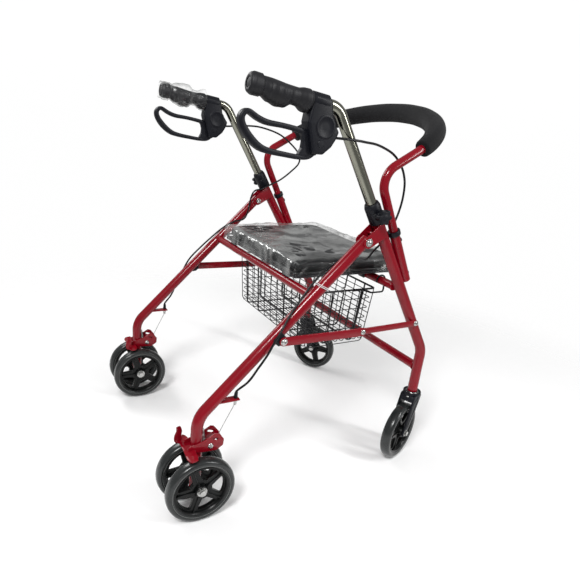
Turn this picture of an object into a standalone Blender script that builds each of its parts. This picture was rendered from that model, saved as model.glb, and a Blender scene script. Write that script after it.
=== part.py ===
"""Rollator walker: a folding steel frame on twin rear wheels and front casters.

Metres, +Z up. +Y is the way it rolls and +X is the user's right. The origin is on the floor
under the middle of the bounding box. Every piece is built where it stands, then parented to
an empty on the axis that it turns or slides about.
"""
from math import cos, pi, radians, sin, tan

import bmesh
import bpy
from mathutils import Matrix, Vector

# Driving dimensions
GAP = 0.0003  # clearance between touching parts
TRACK = 0.2691  # each side frame's plane, from the middle
SIDES = {"r": 1, "l": -1}

LEG_R = 0.0127
LEG_BORE_R = 0.0114
FRONT_FOOT_Y = 0.300
FRONT_FOOT_Z = 0.182
FRONT_KNEE_Z = 0.300
FRONT_LEAN = tan(radians(32.5))
FRONT_TOP_Z = 0.650
LEG_BORE_DEPTH = 0.27
REAR_FOOT_Y = -0.296
REAR_FOOT_Z = 0.056
REAR_KNEE_Z = 0.2255
KNEE_R = 0.06

CROSS_R = 0.0095
LOW_CROSS_R = 0.0111
FRONT_CROSS = Vector((0, 0.180, 0.4745))
REAR_CROSS = Vector((0, -0.050, 0.4715))
LOW_CROSS = Vector((0, FRONT_FOOT_Y, 0.2495))

HINGE = Vector((0, 0.0655, 0.587))
HINGE_LOBE_R = 0.0132
PLATE_T = 0.0025

LINK_B = Vector((0, -0.119, 0.3838))
LINK_C = Vector((0, 0.0859, 0.3815))
LINK_D = Vector((0, 0.2466, 0.3838))
FRONT_LINK_X = (0.0131, 0.0157)
REAR_LINK_X = (0.0161, 0.0191)

WHEEL_R = 0.0757
TYRE_W = 0.026
RIM_R = 0.0605
SPOKES = 5
TWIN_OFFSET = 0.035
AXLE_R = 0.005
CASTER_TRAIL = 0.0393
CASTER_YAW = {"r": 21.4, "l": 123.1}

GRIP_RISE = Vector((0, -1, 0.1228)).normalized()
HANDLE_CORNER = Vector((0, -0.0435, 0.8392))
HANDLE_R = 0.0111
HOUSING_BACK_Y = -0.107
GRIP_L = 0.122
LEVER_PIVOT = Vector((0, -0.083, 0.775))

SOCKET_TOP = Vector((0, 0.1411, 0.6054))
SOCKET_UP = Vector((0, -0.5317, 1)).normalized()
SOCKET_R = 0.0111
SOCKET_L = 0.128
BACK_TUBE_R = 0.0095
BACK_START = Vector((0, 0.168, 0.7733))
BACK_APEX = Vector((0, 0.316, 0.8578))
PAD_R = 0.0225

SEAT_X = 0.200
SEAT_Y = (-0.058, 0.244)
SEAT_Z = 0.489
BOARD_T = 0.006
CUSHION_T = 0.0315

BASKET_TOP_Z = 0.447
BASKET_FLOOR_Z = 0.303
BASKET_TOP = (0.190, -0.010, 0.187)
BASKET_FLOOR = (0.186, 0.000, 0.175)
BASKET_HOOK_X = 0.211
BASKET_WALL = 0.004

BRAKE_PIVOT = Vector((0, -0.270, 0.1634))
SHOE = Vector((0, -0.3152, 0.161))
SHOE_R = 0.0055
CABLE_R = 0.0024
CABLE_TAB = Vector((0, -0.213, 0.258))

X = Vector((1, 0, 0))
Z = Vector((0, 0, 1))


# Scene, collections and materials
for old in list(bpy.data.objects):
    bpy.data.objects.remove(old, do_unlink=True)
PARTS = bpy.data.collections.new("rollator_walker")
CUTTERS = bpy.data.collections.new("cutters")
bpy.context.scene.collection.children.link(PARTS)
bpy.context.scene.collection.children.link(CUTTERS)


def finish(name, colour, roughness, metallic=0.0):
    """A Principled material."""
    material = bpy.data.materials.new(name)
    material.use_nodes = True
    shader = material.node_tree.nodes["Principled BSDF"]
    shader.inputs["Base Color"].default_value = (*colour, 1)
    shader.inputs["Roughness"].default_value = roughness
    shader.inputs["Metallic"].default_value = metallic
    return material


RED = finish("red_paint", (0.42, 0.010, 0.028), 0.25)
CHROME = finish("chrome", (0.55, 0.55, 0.50), 0.12, 1.0)
ZINC = finish("zinc_steel", (0.60, 0.60, 0.60), 0.35, 1.0)
BLACK = finish("black_plastic", (0.012, 0.013, 0.016), 0.42)
WIRE = finish("black_wire", (0.010, 0.010, 0.012), 0.35)
RUBBER = finish("tyre_polyurethane", (0.030, 0.031, 0.032), 0.30)
FOAM = finish("foam", (0.010, 0.010, 0.011), 0.90)
VINYL = finish("seat_vinyl", (0.030, 0.030, 0.034), 0.50)
CABLE = finish("cable_jacket", (0.008, 0.008, 0.009), 0.40)


# Points and outlines
def at(side, point, dx=0.0):
    """A side frame's own point: its x is replaced by the frame's plane plus an outward offset."""
    return Vector((SIDES[side] * (TRACK + dx), point[1], point[2]))


def front_axis(z):
    """The point at height z on the front leg's sloping axis."""
    return Vector((0, FRONT_FOOT_Y - FRONT_LEAN * (z - FRONT_KNEE_Z), z))


def rounded(points, radius, steps=6):
    """The polyline with each inner corner turned as an arc."""
    path = [Vector(points[0])]
    for before, corner, after in zip(points, points[1:], points[2:]):
        back = (Vector(before) - corner).normalized()
        ahead = (Vector(after) - corner).normalized()
        half = back.angle(ahead) / 2
        centre = corner + (back + ahead).normalized() * radius / sin(half)
        first = (corner + back * radius / tan(half) - centre).normalized()
        last = (corner + ahead * radius / tan(half) - centre).normalized()
        path += [centre + first.slerp(last, i / steps) * radius for i in range(steps + 1)]
    return path + [Vector(points[-1])]


def soft_outline(points, radius, steps=3):
    """A closed (y, z) outline with its corners rounded."""
    corners = [Vector((y, z, 0)) for y, z in points]
    ring = [(corners[-1] + corners[0]) / 2] + corners + [(corners[-1] + corners[0]) / 2]
    return [(p.x, p.y) for p in rounded(ring, radius, steps)[:-1]]


def arc(centre, radius, start, end, steps):
    """Points on an arc, in degrees from +Y towards +Z."""
    turns = [radians(start + (end - start) * i / steps) for i in range(steps + 1)]
    return [(centre[0] + radius * cos(a), centre[1] + radius * sin(a)) for a in turns]


def circle(centre, radius, sides=12):
    return arc(centre, radius, 0, 360 - 360 / sides, sides - 1)


def stadium(a, b, radius, steps=6):
    """The outline of a bar with round ends, from a to b."""
    along = Vector(b) - Vector(a)
    turn = Vector((1, 0)).angle_signed(along, 0) * -180 / pi
    return arc(b, radius, turn - 90, turn + 90, steps) + arc(a, radius, turn + 90, turn + 270, steps)


def yz(vector):
    return vector[1], vector[2]


def smooth_route(points, per_span=4):
    """A Catmull-Rom curve through the points, as a polyline."""
    knots = [Vector(p) for p in points]
    knots = [2 * knots[0] - knots[1]] + knots + [2 * knots[-1] - knots[-2]]
    path = []
    for p0, p1, p2, p3 in zip(knots, knots[1:], knots[2:], knots[3:]):
        for i in range(per_span):
            t = i / per_span
            curve = 2 * p1 + (p2 - p0) * t + (2 * p0 - 5 * p1 + 4 * p2 - p3) * t ** 2
            path.append((curve + (3 * p1 - p0 - 3 * p2 + p3) * t ** 3) / 2)
    return path + [knots[-2]]


# Shapes
def place(obj, material=None, collection=PARTS):
    collection.objects.link(obj)
    if material:
        obj.data.materials.append(material)
    return obj


def as_cutter(obj):
    """Moves a piece to the cutters, hidden in renders and drawn as wire."""
    for home in list(obj.users_collection):
        home.objects.unlink(obj)
    CUTTERS.objects.link(obj)
    obj.hide_render = True
    obj.display_type = "WIRE"
    return obj


def tube(name, points, radius, material=None, resolution=6):
    """A bar swept along a polyline, kept as a curve with filled caps."""
    curve = bpy.data.curves.new(name, "CURVE")
    curve.dimensions = "3D"
    curve.bevel_depth = radius
    curve.bevel_resolution = resolution
    curve.use_fill_caps = True
    spline = curve.splines.new("POLY")
    spline.points.add(len(points) - 1)
    for knot, point in zip(spline.points, points):
        knot.co = (*point, 1)
    return place(bpy.data.objects.new(name, curve), material)


def solid(obj):
    """The curve object as a mesh object with its caps welded, so that it can be cut or joined."""
    bpy.context.view_layer.update()
    evaluated = obj.evaluated_get(bpy.context.evaluated_depsgraph_get())
    mesh = bpy.data.meshes.new_from_object(evaluated)
    made = bmesh.new()
    made.from_mesh(mesh)
    bmesh.ops.remove_doubles(made, verts=made.verts, dist=0.00001)
    bmesh.ops.recalc_face_normals(made, faces=made.faces)
    made.to_mesh(mesh)
    made.free()
    name, matrix = obj.name, obj.matrix_world.copy()
    bpy.data.objects.remove(obj, do_unlink=True)
    result = bpy.data.objects.new(name, mesh)
    result.matrix_world = matrix
    return place(result)


def plate(name, outlines, thickness, middle_x, material=None):
    """Flat (y, z) outlines, the first outside and the rest holes, extruded across X."""
    curve = bpy.data.curves.new(name, "CURVE")
    curve.dimensions = "2D"
    curve.fill_mode = "BOTH"
    curve.extrude = thickness / 2
    for outline in outlines:
        spline = curve.splines.new("POLY")
        spline.points.add(len(outline) - 1)
        spline.use_cyclic_u = True
        for knot, (y, z) in zip(spline.points, outline):
            knot.co = (y, z, 0, 1)
    obj = place(bpy.data.objects.new(name, curve), material)
    obj.rotation_euler = (pi / 2, 0, pi / 2)
    obj.location.x = middle_x
    return solid(obj)


def rod(name, start, end, radius, material=None, sides=16, end_radius=None):
    """A round bar or cone from start to end."""
    start, end = Vector(start), Vector(end)
    made = bmesh.new()
    bmesh.ops.create_cone(
        made, cap_ends=True, segments=sides, radius1=radius,
        radius2=radius if end_radius is None else end_radius, depth=(end - start).length,
    )
    mesh = bpy.data.meshes.new(name)
    made.to_mesh(mesh)
    made.free()
    obj = bpy.data.objects.new(name, mesh)
    obj.rotation_euler = (end - start).to_track_quat("Z", "Y").to_euler()
    obj.location = (start + end) / 2
    return place(obj, material)


def block(name, low, high, material=None):
    """A box between two corners."""
    low, high = Vector(low), Vector(high)
    made = bmesh.new()
    bmesh.ops.create_cube(made, size=1, matrix=Matrix.Diagonal((*(high - low), 1)))
    mesh = bpy.data.meshes.new(name)
    made.to_mesh(mesh)
    made.free()
    obj = bpy.data.objects.new(name, mesh)
    obj.location = (low + high) / 2
    return place(obj, material)


def turned(name, profile, base, axis, material=None, steps=24, closed=False):
    """A profile of (radius, height) points, highest first, turned about an axis from its base."""
    edges = [(i, i + 1) for i in range(len(profile) - 1)]
    if closed:
        edges.append((len(profile) - 1, 0))
    mesh = bpy.data.meshes.new(name)
    mesh.from_pydata([(r, 0, h) for r, h in profile], edges, [])
    obj = bpy.data.objects.new(name, mesh)
    screw = obj.modifiers.new("turn", "SCREW")
    screw.steps = screw.render_steps = steps
    screw.use_merge_vertices = True
    screw.merge_threshold = 0.00001
    obj.rotation_euler = Vector(axis).to_track_quat("Z", "Y").to_euler()
    obj.location = base
    return place(obj, material)


def combine(target, other, operation):
    modifier = target.modifiers.new(operation.lower(), "BOOLEAN")
    modifier.operation = operation
    modifier.solver = "EXACT"
    modifier.object = as_cutter(other)
    return target


def cut(target, *cutters):
    for cutter in cutters:
        combine(target, cutter, "DIFFERENCE")
    return target


def join(target, *pieces):
    for piece in pieces:
        combine(target, piece, "UNION")
    return target


def paint(obj, material):
    obj.data.materials.clear()
    obj.data.materials.append(material)
    return obj


# Joints: an empty on each axis, with the pieces that move about it
def joint(name, point, pieces, parent=None):
    empty = bpy.data.objects.new(name, None)
    empty.location = point
    empty.empty_display_size = 0.02
    PARTS.objects.link(empty)
    bpy.context.view_layer.update()
    for piece in pieces:
        attach(piece, empty)
    if parent:
        attach(empty, parent)
    return empty


def attach(child, parent):
    bpy.context.view_layer.update()
    child.parent = parent
    child.matrix_parent_inverse = parent.matrix_world.inverted()


# Front frame
def front_leg(side):
    """The leg tube, bored from the top for the handle and from below for the caster's stem."""
    path = rounded(
        [at(side, (0, FRONT_FOOT_Y, FRONT_FOOT_Z)), at(side, front_axis(FRONT_KNEE_Z)),
         at(side, front_axis(FRONT_TOP_Z))], KNEE_R)
    leg = paint(solid(tube(f"front_leg_{side}", path, LEG_R)), RED)
    up = (front_axis(1) - front_axis(0)).normalized()
    top = at(side, front_axis(FRONT_TOP_Z))
    foot = at(side, (0, FRONT_FOOT_Y, FRONT_FOOT_Z))
    pin = rod(f"link_pin_{side}", at(side, LINK_D, 0.008), at(side, LINK_D, 0.0163), 0.004, sides=10)
    head = rod(f"link_pin_head_{side}", at(side, LINK_D, 0.016), at(side, LINK_D, 0.0195), 0.0070)
    join(leg, join(pin, head))
    return cut(
        leg, rod(f"bore_{side}", top + up * 0.01, top - up * LEG_BORE_DEPTH, LEG_BORE_R, sides=20),
        rod(f"stem_bore_{side}", foot - Z * 0.01, foot + Z * 0.042, 0.0075))


def cross_tube(name, centre, radius, half, legs):
    """A tube between the legs, its ends shaped to them."""
    bar = rod(name, centre - X * half, centre + X * half, radius, RED)
    return cut(bar, *legs)


def leg_cutters(name, start, end):
    return [
        rod(f"{name}_{side}", at(side, start), at(side, end), LEG_R + GAP, sides=24) for side in SIDES
    ]


def hinge_bracket(side):
    """Two plates on the front leg, with a spacer between them, that hold the rear leg's top."""
    high, low = front_axis(0.628), front_axis(0.598)
    lobe = arc(yz(HINGE), HINGE_LOBE_R, 115, 290, 8)
    outline = lobe + [yz(low), yz(high)]
    name = f"hinge_bracket_{side}"
    inner = LEG_R + GAP
    pieces = []
    for label, sign in (("outer", 1), ("inner", -1)):
        middle = SIDES[side] * (TRACK + sign * (inner + PLATE_T / 2))
        pieces.append(plate(f"{name}_{label}", [outline, circle(yz(HINGE), 0.0045)], PLATE_T, middle))
    towards_leg = (front_axis(0.610) - HINGE).normalized()
    spacer = block(f"{name}_spacer", (-inner - 0.001, -0.0035, -0.009), (inner + 0.001, 0.0035, 0.009))
    spacer.rotation_euler.x = towards_leg.angle(Vector((0, 1, 0)))
    spacer.location = at(side, HINGE + towards_leg * 0.0215)
    bracket = pieces[0]
    bracket.name = name
    return paint(join(bracket, pieces[1], spacer), RED)


def hinge_bolt(side):
    """The bolt through the bracket and the rear leg, with a head and a nut."""
    reach = LEG_R + GAP + PLATE_T + GAP
    bolt = rod(f"hinge_bolt_{side}", at(side, HINGE, -reach - 0.004), at(side, HINGE, reach + 0.004),
               0.004, ZINC, 12)
    head = rod(f"hinge_bolt_head_{side}", at(side, HINGE, reach), at(side, HINGE, reach + 0.0045),
               0.0085, sides=12, end_radius=0.006)
    nut = rod(f"hinge_bolt_nut_{side}", at(side, HINGE, -reach - 0.005), at(side, HINGE, -reach),
              0.0075, sides=6)
    return join(bolt, head, nut)


def backrest_socket(side, leg_cutter):
    """The tube on the front of the leg that the backrest stands in."""
    top = at(side, SOCKET_TOP)
    foot = top - SOCKET_UP * SOCKET_L
    socket = rod(f"backrest_socket_{side}", foot, top, SOCKET_R, RED, 16)
    button = top - SOCKET_UP * 0.024
    ahead = Vector((0, SOCKET_UP.z, -SOCKET_UP.y))
    return cut(
        socket, rod(f"socket_bore_{side}", top - SOCKET_UP * 0.105, top + SOCKET_UP * 0.01,
                    BACK_TUBE_R + GAP),
        rod(f"button_hole_{side}", button, button + ahead * 0.03, 0.0044, sides=12), leg_cutter)


def snap_button(side):
    """The sprung button that shows through the socket and locks the backrest."""
    ahead = Vector((0, SOCKET_UP.z, -SOCKET_UP.y))
    centre = at(side, SOCKET_TOP) - SOCKET_UP * 0.024
    return rod(f"snap_button_{side}", centre + ahead * (BACK_TUBE_R + GAP), centre + ahead * 0.0142,
               0.0038, ZINC, 12)


def height_collar(side):
    """The plastic collar over the leg's top, with the boss that the knob's stud goes through."""
    up = (front_axis(1) - front_axis(0)).normalized()
    top = at(side, front_axis(FRONT_TOP_Z))
    inner, outer, neck = LEG_R + GAP, 0.0168, LEG_BORE_R
    profile = [(neck, 0.020), (0.0145, 0.020), (outer, 0.012), (outer, -0.026),
               (inner, -0.026), (inner, GAP), (neck, GAP)]
    collar = turned(f"height_collar_{side}", profile, top, up, BLACK, 16, closed=True)
    boss_at = at(side, front_axis(0.643))
    out = SIDES[side] * X
    join(collar, rod(f"collar_boss_{side}", boss_at + out * 0.0145, boss_at + out * 0.0215, 0.010))
    return cut(collar, rod(f"stud_hole_{side}", boss_at + out * 0.010, boss_at + out * 0.03, 0.0043))


def clamp_knob(side):
    """The star knob that clamps the handle's height, with its stud."""
    centre = at(side, front_axis(0.643))
    out = SIDES[side] * X
    lobes = []
    for i in range(36):
        a = radians(10 * i)
        r = 0.0150 + 0.0022 * cos(6 * a)
        lobes.append((centre.y + r * cos(a), centre.z + r * sin(a)))
    knob = plate(f"clamp_knob_{side}", [lobes], 0.014, centre.x + SIDES[side] * 0.0290)
    stud = rod(f"stud_{side}", centre + out * (LEG_R + GAP), centre + out * 0.0300, 0.004, sides=10)
    return paint(join(knob, stud), BLACK)


# Handles
def handle_tube(side):
    """The chrome tube that slides in the leg and bends back under the grip."""
    up = (front_axis(1) - front_axis(0)).normalized()
    foot = at(side, front_axis(FRONT_TOP_Z)) - up * 0.150
    end = at(side, HANDLE_CORNER + GRIP_RISE * 0.180)
    path = rounded([foot, at(side, HANDLE_CORNER), end], 0.035)
    return tube(f"handle_tube_{side}", path, HANDLE_R, CHROME)


def grip_start():
    reach = (HOUSING_BACK_Y - HANDLE_CORNER.y) / GRIP_RISE.y
    return HANDLE_CORNER + GRIP_RISE * reach


def grip(side):
    """The rubber grip, with a flanged, closed end."""
    end = GRIP_L
    profile = [(0, end), (0.020, end), (0.0225, end - 0.003), (0.0225, end - 0.006),
               (0.0165, end - 0.010), (0.0150, end - 0.045), (0.0165, end - 0.080),
               (0.0165, GAP), (LEG_BORE_R, GAP), (LEG_BORE_R, end - 0.0035), (0, end - 0.0035)]
    return turned(f"grip_{side}", profile, at(side, grip_start()), GRIP_RISE, BLACK, 16)


def brake_housing(side):
    """The clamp round the handle tube, with two cheeks and a pin for the lever."""
    middle = SIDES[side] * TRACK
    outline = soft_outline([
        (HOUSING_BACK_Y + 0.0026, 0.866), (-0.0605, 0.860), (-0.0605, 0.795), (-0.068, 0.7534),
        (-0.098, 0.7560), (HOUSING_BACK_Y - 0.0068, 0.790)], 0.008)
    body = plate(f"brake_housing_{side}", [outline], 0.030, middle)
    tube_at = at(side, grip_start())
    bore = rod(f"handle_bore_{side}", tube_at + GRIP_RISE * 0.02, tube_at - GRIP_RISE * 0.08, LEG_BORE_R,
               sides=20)
    slot = block(f"lever_slot_{side}", (middle - 0.0056, -0.140, 0.735), (middle + 0.0056, -0.067, 0.803))
    cut(body, bore, slot)
    pin = rod(f"lever_pin_{side}", at(side, LEVER_PIVOT, -0.010), at(side, LEVER_PIVOT, 0.010), 0.003,
              sides=10)
    return paint(join(body, pin), BLACK)


def brake_lever(side):
    """The loop lever: squeezed up to brake and pushed down to park."""
    outer = soft_outline([
        (-0.0735, 0.7855), (-0.1187, 0.7975), (-0.2275, 0.8245), (-0.2410, 0.7970),
        (-0.2060, 0.7590), (-0.1800, 0.7500), (-0.1076, 0.7440), (-0.0735, 0.7650)], 0.007)
    inner = soft_outline([
        (-0.1185, 0.7885), (-0.2225, 0.8140), (-0.2310, 0.7975), (-0.2025, 0.7670),
        (-0.1780, 0.7580), (-0.1185, 0.7525)], 0.004)
    bore = circle(yz(LEVER_PIVOT), 0.0034, 10)
    return paint(plate(f"brake_lever_{side}", [outer, inner, bore], 0.0104, SIDES[side] * TRACK), BLACK)


# Backrest
def backrest_path(trim=0.0):
    """Up out of the right socket, round the front as half an ellipse, and down into the left."""
    steps = 18
    loop = []
    for i in range(steps + 1):
        a = radians(trim + (180 - 2 * trim) * i / steps)
        loop.append(Vector((TRACK * cos(a), 0, 0)) + BACK_START + (BACK_APEX - BACK_START) * sin(a))
    return loop


def backrest_tube():
    """The bent tube that carries the pad."""
    foot = SOCKET_TOP - SOCKET_UP * 0.090
    loop = backrest_path()
    rise = (BACK_APEX - BACK_START).normalized()
    down = (BACK_START.y - SOCKET_TOP.y) * SOCKET_UP.z - (BACK_START.z - SOCKET_TOP.z) * SOCKET_UP.y
    corner = BACK_START - rise * (down / (rise.y * SOCKET_UP.z - rise.z * SOCKET_UP.y))
    right = rounded([at("r", foot), at("r", corner), loop[0]], 0.042)
    left = rounded([at("l", foot), at("l", corner), loop[-1]], 0.042)
    path = right[:-1] + loop + left[:-1][::-1]
    bar = paint(solid(tube("backrest_tube", path, BACK_TUBE_R, None, 4)), RED)
    ahead = Vector((0, SOCKET_UP.z, -SOCKET_UP.y))
    for side in SIDES:
        button = at(side, SOCKET_TOP) - SOCKET_UP * 0.024
        start, end = button + ahead * 0.0055, button + ahead * 0.02
        cut(bar, rod(f"button_well_{side}", start, end, 0.0042, sides=12))
    return bar


def backrest_pad():
    """The foam sleeve round the tube."""
    pad = paint(solid(tube("backrest_pad", backrest_path(4), PAD_R, None, 4)), FOAM)
    return cut(pad, solid(tube("pad_bore", backrest_path(), BACK_TUBE_R + 2 * GAP, None, 4)))


# Seat
def seat_board():
    """The board under the cushion, with two clips that turn on the front tube and two rests."""
    board = block("seat_board", (-SEAT_X, SEAT_Y[0], SEAT_Z), (SEAT_X, SEAT_Y[1], SEAT_Z + BOARD_T), BLACK)
    for side, sign in SIDES.items():
        x = sign * 0.150
        clip = block(f"clip_{side}", (x - 0.012, FRONT_CROSS.y - 0.0135, FRONT_CROSS.z - 0.006),
                     (x + 0.012, FRONT_CROSS.y + 0.0135, SEAT_Z + 0.001))
        rest = block(f"rest_{side}", (x - 0.012, REAR_CROSS.y - 0.004, REAR_CROSS.z + CROSS_R + GAP),
                     (x + 0.012, REAR_CROSS.y + 0.008, SEAT_Z + 0.001))
        join(board, clip, rest)
    seat_bore = rod("seat_bore", FRONT_CROSS - X * 0.19, FRONT_CROSS + X * 0.19, CROSS_R + 2 * GAP)
    return cut(board, seat_bore)


def seat_cushion():
    low = SEAT_Z + BOARD_T + GAP
    cushion = block("seat_cushion", (-SEAT_X, SEAT_Y[0], low), (SEAT_X, SEAT_Y[1], low + CUSHION_T), VINYL)
    round_edges = cushion.modifiers.new("round", "BEVEL")
    round_edges.width = 0.010
    round_edges.segments = 2
    return cushion


# Basket
def basket_shape(name, grow, top, floor):
    """The basket's tapered block, grown sideways by a wall's thickness."""
    made = bmesh.new()
    bmesh.ops.create_cube(made, size=1)
    for vertex in made.verts:
        half, back, front = BASKET_TOP if vertex.co.z > 0 else BASKET_FLOOR
        vertex.co.x = (half + grow) * (1 if vertex.co.x > 0 else -1)
        vertex.co.y = front + grow if vertex.co.y > 0 else back - grow
        vertex.co.z = top if vertex.co.z > 0 else floor
    mesh = bpy.data.meshes.new(name)
    made.to_mesh(mesh)
    made.free()
    return place(bpy.data.objects.new(name, mesh))


def basket():
    """The basket's walls and floor, with a wire hook outside each side that turns on the front tube."""
    body = basket_shape("basket", 0, BASKET_TOP_Z, BASKET_FLOOR_Z)
    cut(body, basket_shape("inside", -BASKET_WALL, BASKET_TOP_Z + 0.01, BASKET_FLOOR_Z + BASKET_WALL))
    ring = CROSS_R + 0.0028
    z = BASKET_TOP_Z - 0.0025
    for side, sign in SIDES.items():
        x = sign * BASKET_HOOK_X
        over = [Vector((x, up, high)) for up, high in arc(yz(FRONT_CROSS), ring, 200, 0, 8)]
        under = [(x, FRONT_CROSS.y + ring, z), (x, 0.157, z), (sign * 0.187, 0.148, z)]
        path = over[:-1] + rounded([over[-1]] + [Vector(p) for p in under], 0.005)
        join(body, solid(tube(f"hook_{side}", path, 0.002, None, 2)))
    return paint(body, WIRE)


# Rear frame
def rear_leg(side):
    """The rear leg tube, with the brake arm's pivot lug and the tab that stops the brake cable."""
    start = HINGE
    knee = Vector((0, REAR_FOOT_Y, REAR_KNEE_Z))
    foot = Vector((0, REAR_FOOT_Y, REAR_FOOT_Z))
    path = rounded([at(side, start), at(side, knee), at(side, foot)], KNEE_R)
    leg = paint(solid(tube(f"rear_leg_{side}", path, LEG_R)), RED)
    middle = SIDES[side] * TRACK
    top = rod(f"leg_top_{side}", at(side, HINGE, -LEG_R), at(side, HINGE, LEG_R), LEG_R, sides=20)
    lug = plate(f"brake_lug_{side}", [stadium(yz(BRAKE_PIVOT), (REAR_FOOT_Y, BRAKE_PIVOT.z), 0.007, 4)],
                0.010, middle)
    pin = rod(f"brake_pin_{side}", at(side, BRAKE_PIVOT, -0.0175), at(side, BRAKE_PIVOT, 0.0175), 0.003,
              sides=10)
    tab = block(f"cable_tab_{side}", (middle - 0.009, CABLE_TAB.y - 0.045, CABLE_TAB.z - 0.0015),
                (middle + 0.009, CABLE_TAB.y + 0.008, CABLE_TAB.z + 0.0015))
    join(leg, top, lug, pin, tab)
    axle_z = at(side, (0, REAR_FOOT_Y, WHEEL_R))
    return cut(
        leg, rod(f"axle_bore_{side}", axle_z - X * 0.03, axle_z + X * 0.03, AXLE_R + GAP),
        rod(f"hinge_bore_{side}", at(side, HINGE, -0.03), at(side, HINGE, 0.03), 0.0045),
        rod(f"wire_hole_{side}", at(side, CABLE_TAB) - Z * 0.01, at(side, CABLE_TAB) + Z * 0.01, 0.0016,
            sides=8))


def link_bracket(side):
    """The plastic block on the rear leg that carries the side link's rear pivot."""
    along = Vector((0, -1, -1)).normalized()
    foot = (LINK_B - HINGE).dot(along)
    centre = at(side, HINGE + along * foot)
    body = block(f"link_bracket_{side}", (-0.0154, -0.0135, -0.0195), (0.0154, 0.0135, 0.0195))
    body.rotation_euler.x = pi / 4
    body.location = centre + Vector((0, 1, -1)).normalized() * 0.0045
    pin = rod(f"bracket_pin_{side}", at(side, LINK_B, 0.010), at(side, LINK_B, 0.0196), 0.004, sides=10)
    head = rod(f"bracket_pin_head_{side}", at(side, LINK_B, 0.0194), at(side, LINK_B, 0.0230), 0.0075)
    cut(body, rod(f"bracket_bore_{side}", centre - along * 0.04, centre + along * 0.04, LEG_R + GAP,
                  sides=24))
    return paint(join(body, pin, head), BLACK)


def side_link(name, side, pivot, end, span, width, bore):
    """A flat bar from its pivot to the middle of the side link."""
    low, high = span
    middle = SIDES[side] * (TRACK + (low + high) / 2)
    outlines = [stadium(yz(pivot), yz(end), width / 2), circle(yz(pivot), bore, 12)]
    return paint(plate(f"{name}_{side}", outlines, high - low, middle), RED)


def rear_link(side):
    """The wider rear bar, with the middle rivet's head."""
    bar = side_link("rear_link", side, LINK_B, LINK_C, REAR_LINK_X, 0.0200, 0.0043)
    return join(bar, rod(f"rivet_{side}", at(side, LINK_C, 0.018), at(side, LINK_C, 0.0215), 0.0060,
                         sides=12))


# Brakes
def brake_arm(side):
    """The stamped arm round the rear leg, with the bar that presses both tyres."""
    cheek_in, cheek_t = LEG_R + 0.0010, 0.0020
    outline = soft_outline([
        (-0.3230, 0.1545), (-0.2950, 0.1520), (-0.2400, 0.1480), (-0.2370, 0.1580), (-0.2600, 0.1720),
        (-0.3140, 0.1750), (-0.3200, 0.1980), (-0.3250, 0.1975)], 0.002, 1)
    pieces = []
    for label, sign in (("outer", 1), ("inner", -1)):
        middle = SIDES[side] * (TRACK + sign * (cheek_in + cheek_t / 2))
        pieces.append(plate(f"brake_arm_{label}_{side}", [outline, circle(yz(BRAKE_PIVOT), 0.0034, 10)],
                            cheek_t, middle))
    arm = pieces[0]
    arm.name = f"brake_arm_{side}"
    bar = rod(f"shoe_{side}", at(side, SHOE, -0.047), at(side, SHOE, 0.047), SHOE_R, sides=10)
    middle = SIDES[side] * TRACK
    half = cheek_in + 0.0005
    bridge = block(f"bridge_{side}", (middle - half, -0.2450, 0.1495), (middle + half, -0.2415, 0.1570))
    bar_tab = block(f"tab_{side}", (middle - half, -0.3235, 0.1700), (middle + half, -0.3215, 0.1965))
    join(arm, pieces[1], bar, bridge, bar_tab)
    return paint(arm, RED)


# Wheels
def hub(name, centre, axis, boss_half, bore):
    """A five-spoked hub: a web with windows, and a boss that the axle goes through."""
    window_in, window_out = 0.021, 0.051
    outlines = [circle((0, 0), RIM_R - GAP, 28)]
    for i in range(SPOKES):
        middle = 360 / SPOKES * i
        outer = arc((0, 0), window_out, middle - 30, middle + 30, 3)
        inner = arc((0, 0), window_in, middle + 22, middle - 22, 1)
        outlines.append(outer + inner)
    outlines.append(circle((0, 0), bore, 12))
    web = plate(name, outlines, 0.018, 0)
    turn = Vector(axis).to_track_quat("X", "Z").to_matrix().to_4x4()
    web.data.transform(web.matrix_world)
    web.matrix_world = Matrix.Translation(centre) @ turn
    profile = [(bore, boss_half), (0.0145, boss_half), (0.0145, -boss_half), (bore, -boss_half)]
    boss = turned(f"{name}_boss", profile, centre, axis, None, 12, closed=True)
    return paint(join(web, boss), BLACK)


def tyre(name, centre, axis):
    """A rounded tyre round the hub's rim."""
    half = TYRE_W / 2
    profile = [(RIM_R, half - 0.002), (WHEEL_R - 0.006, half), (WHEEL_R, half - 0.007),
               (WHEEL_R, -half + 0.007), (WHEEL_R - 0.006, -half), (RIM_R, -half + 0.002)]
    return turned(name, profile, centre, axis, RUBBER, 28, closed=True)


def rear_axle(side):
    """The axle through the leg, with spacers beside the leg and a nut at each end."""
    centre = at(side, (0, REAR_FOOT_Y, WHEEL_R))
    axle = rod(f"rear_axle_{side}", centre - X * 0.0525, centre + X * 0.0525, AXLE_R, ZINC, 12)
    for sign in (1, -1):
        spacer = rod(f"spacer_{side}_{sign}", centre + X * sign * 0.0131, centre + X * sign * 0.0217, 0.008,
                     sides=12)
        nut = rod(f"nut_{side}_{sign}", centre + X * sign * 0.0485, centre + X * sign * 0.0530, 0.0085,
                  sides=6)
        join(axle, spacer, nut)
    return axle


def caster_frame(side):
    """The swivel's centre on the floor, the wheel's centre, and the axle's direction."""
    yaw = radians(CASTER_YAW[side])
    swivel = at(side, (0, FRONT_FOOT_Y, 0))
    trail = Vector((sin(yaw), -cos(yaw), 0))
    return swivel, swivel + trail * CASTER_TRAIL + Z * WHEEL_R, Vector((cos(yaw), sin(yaw), 0))


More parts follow.
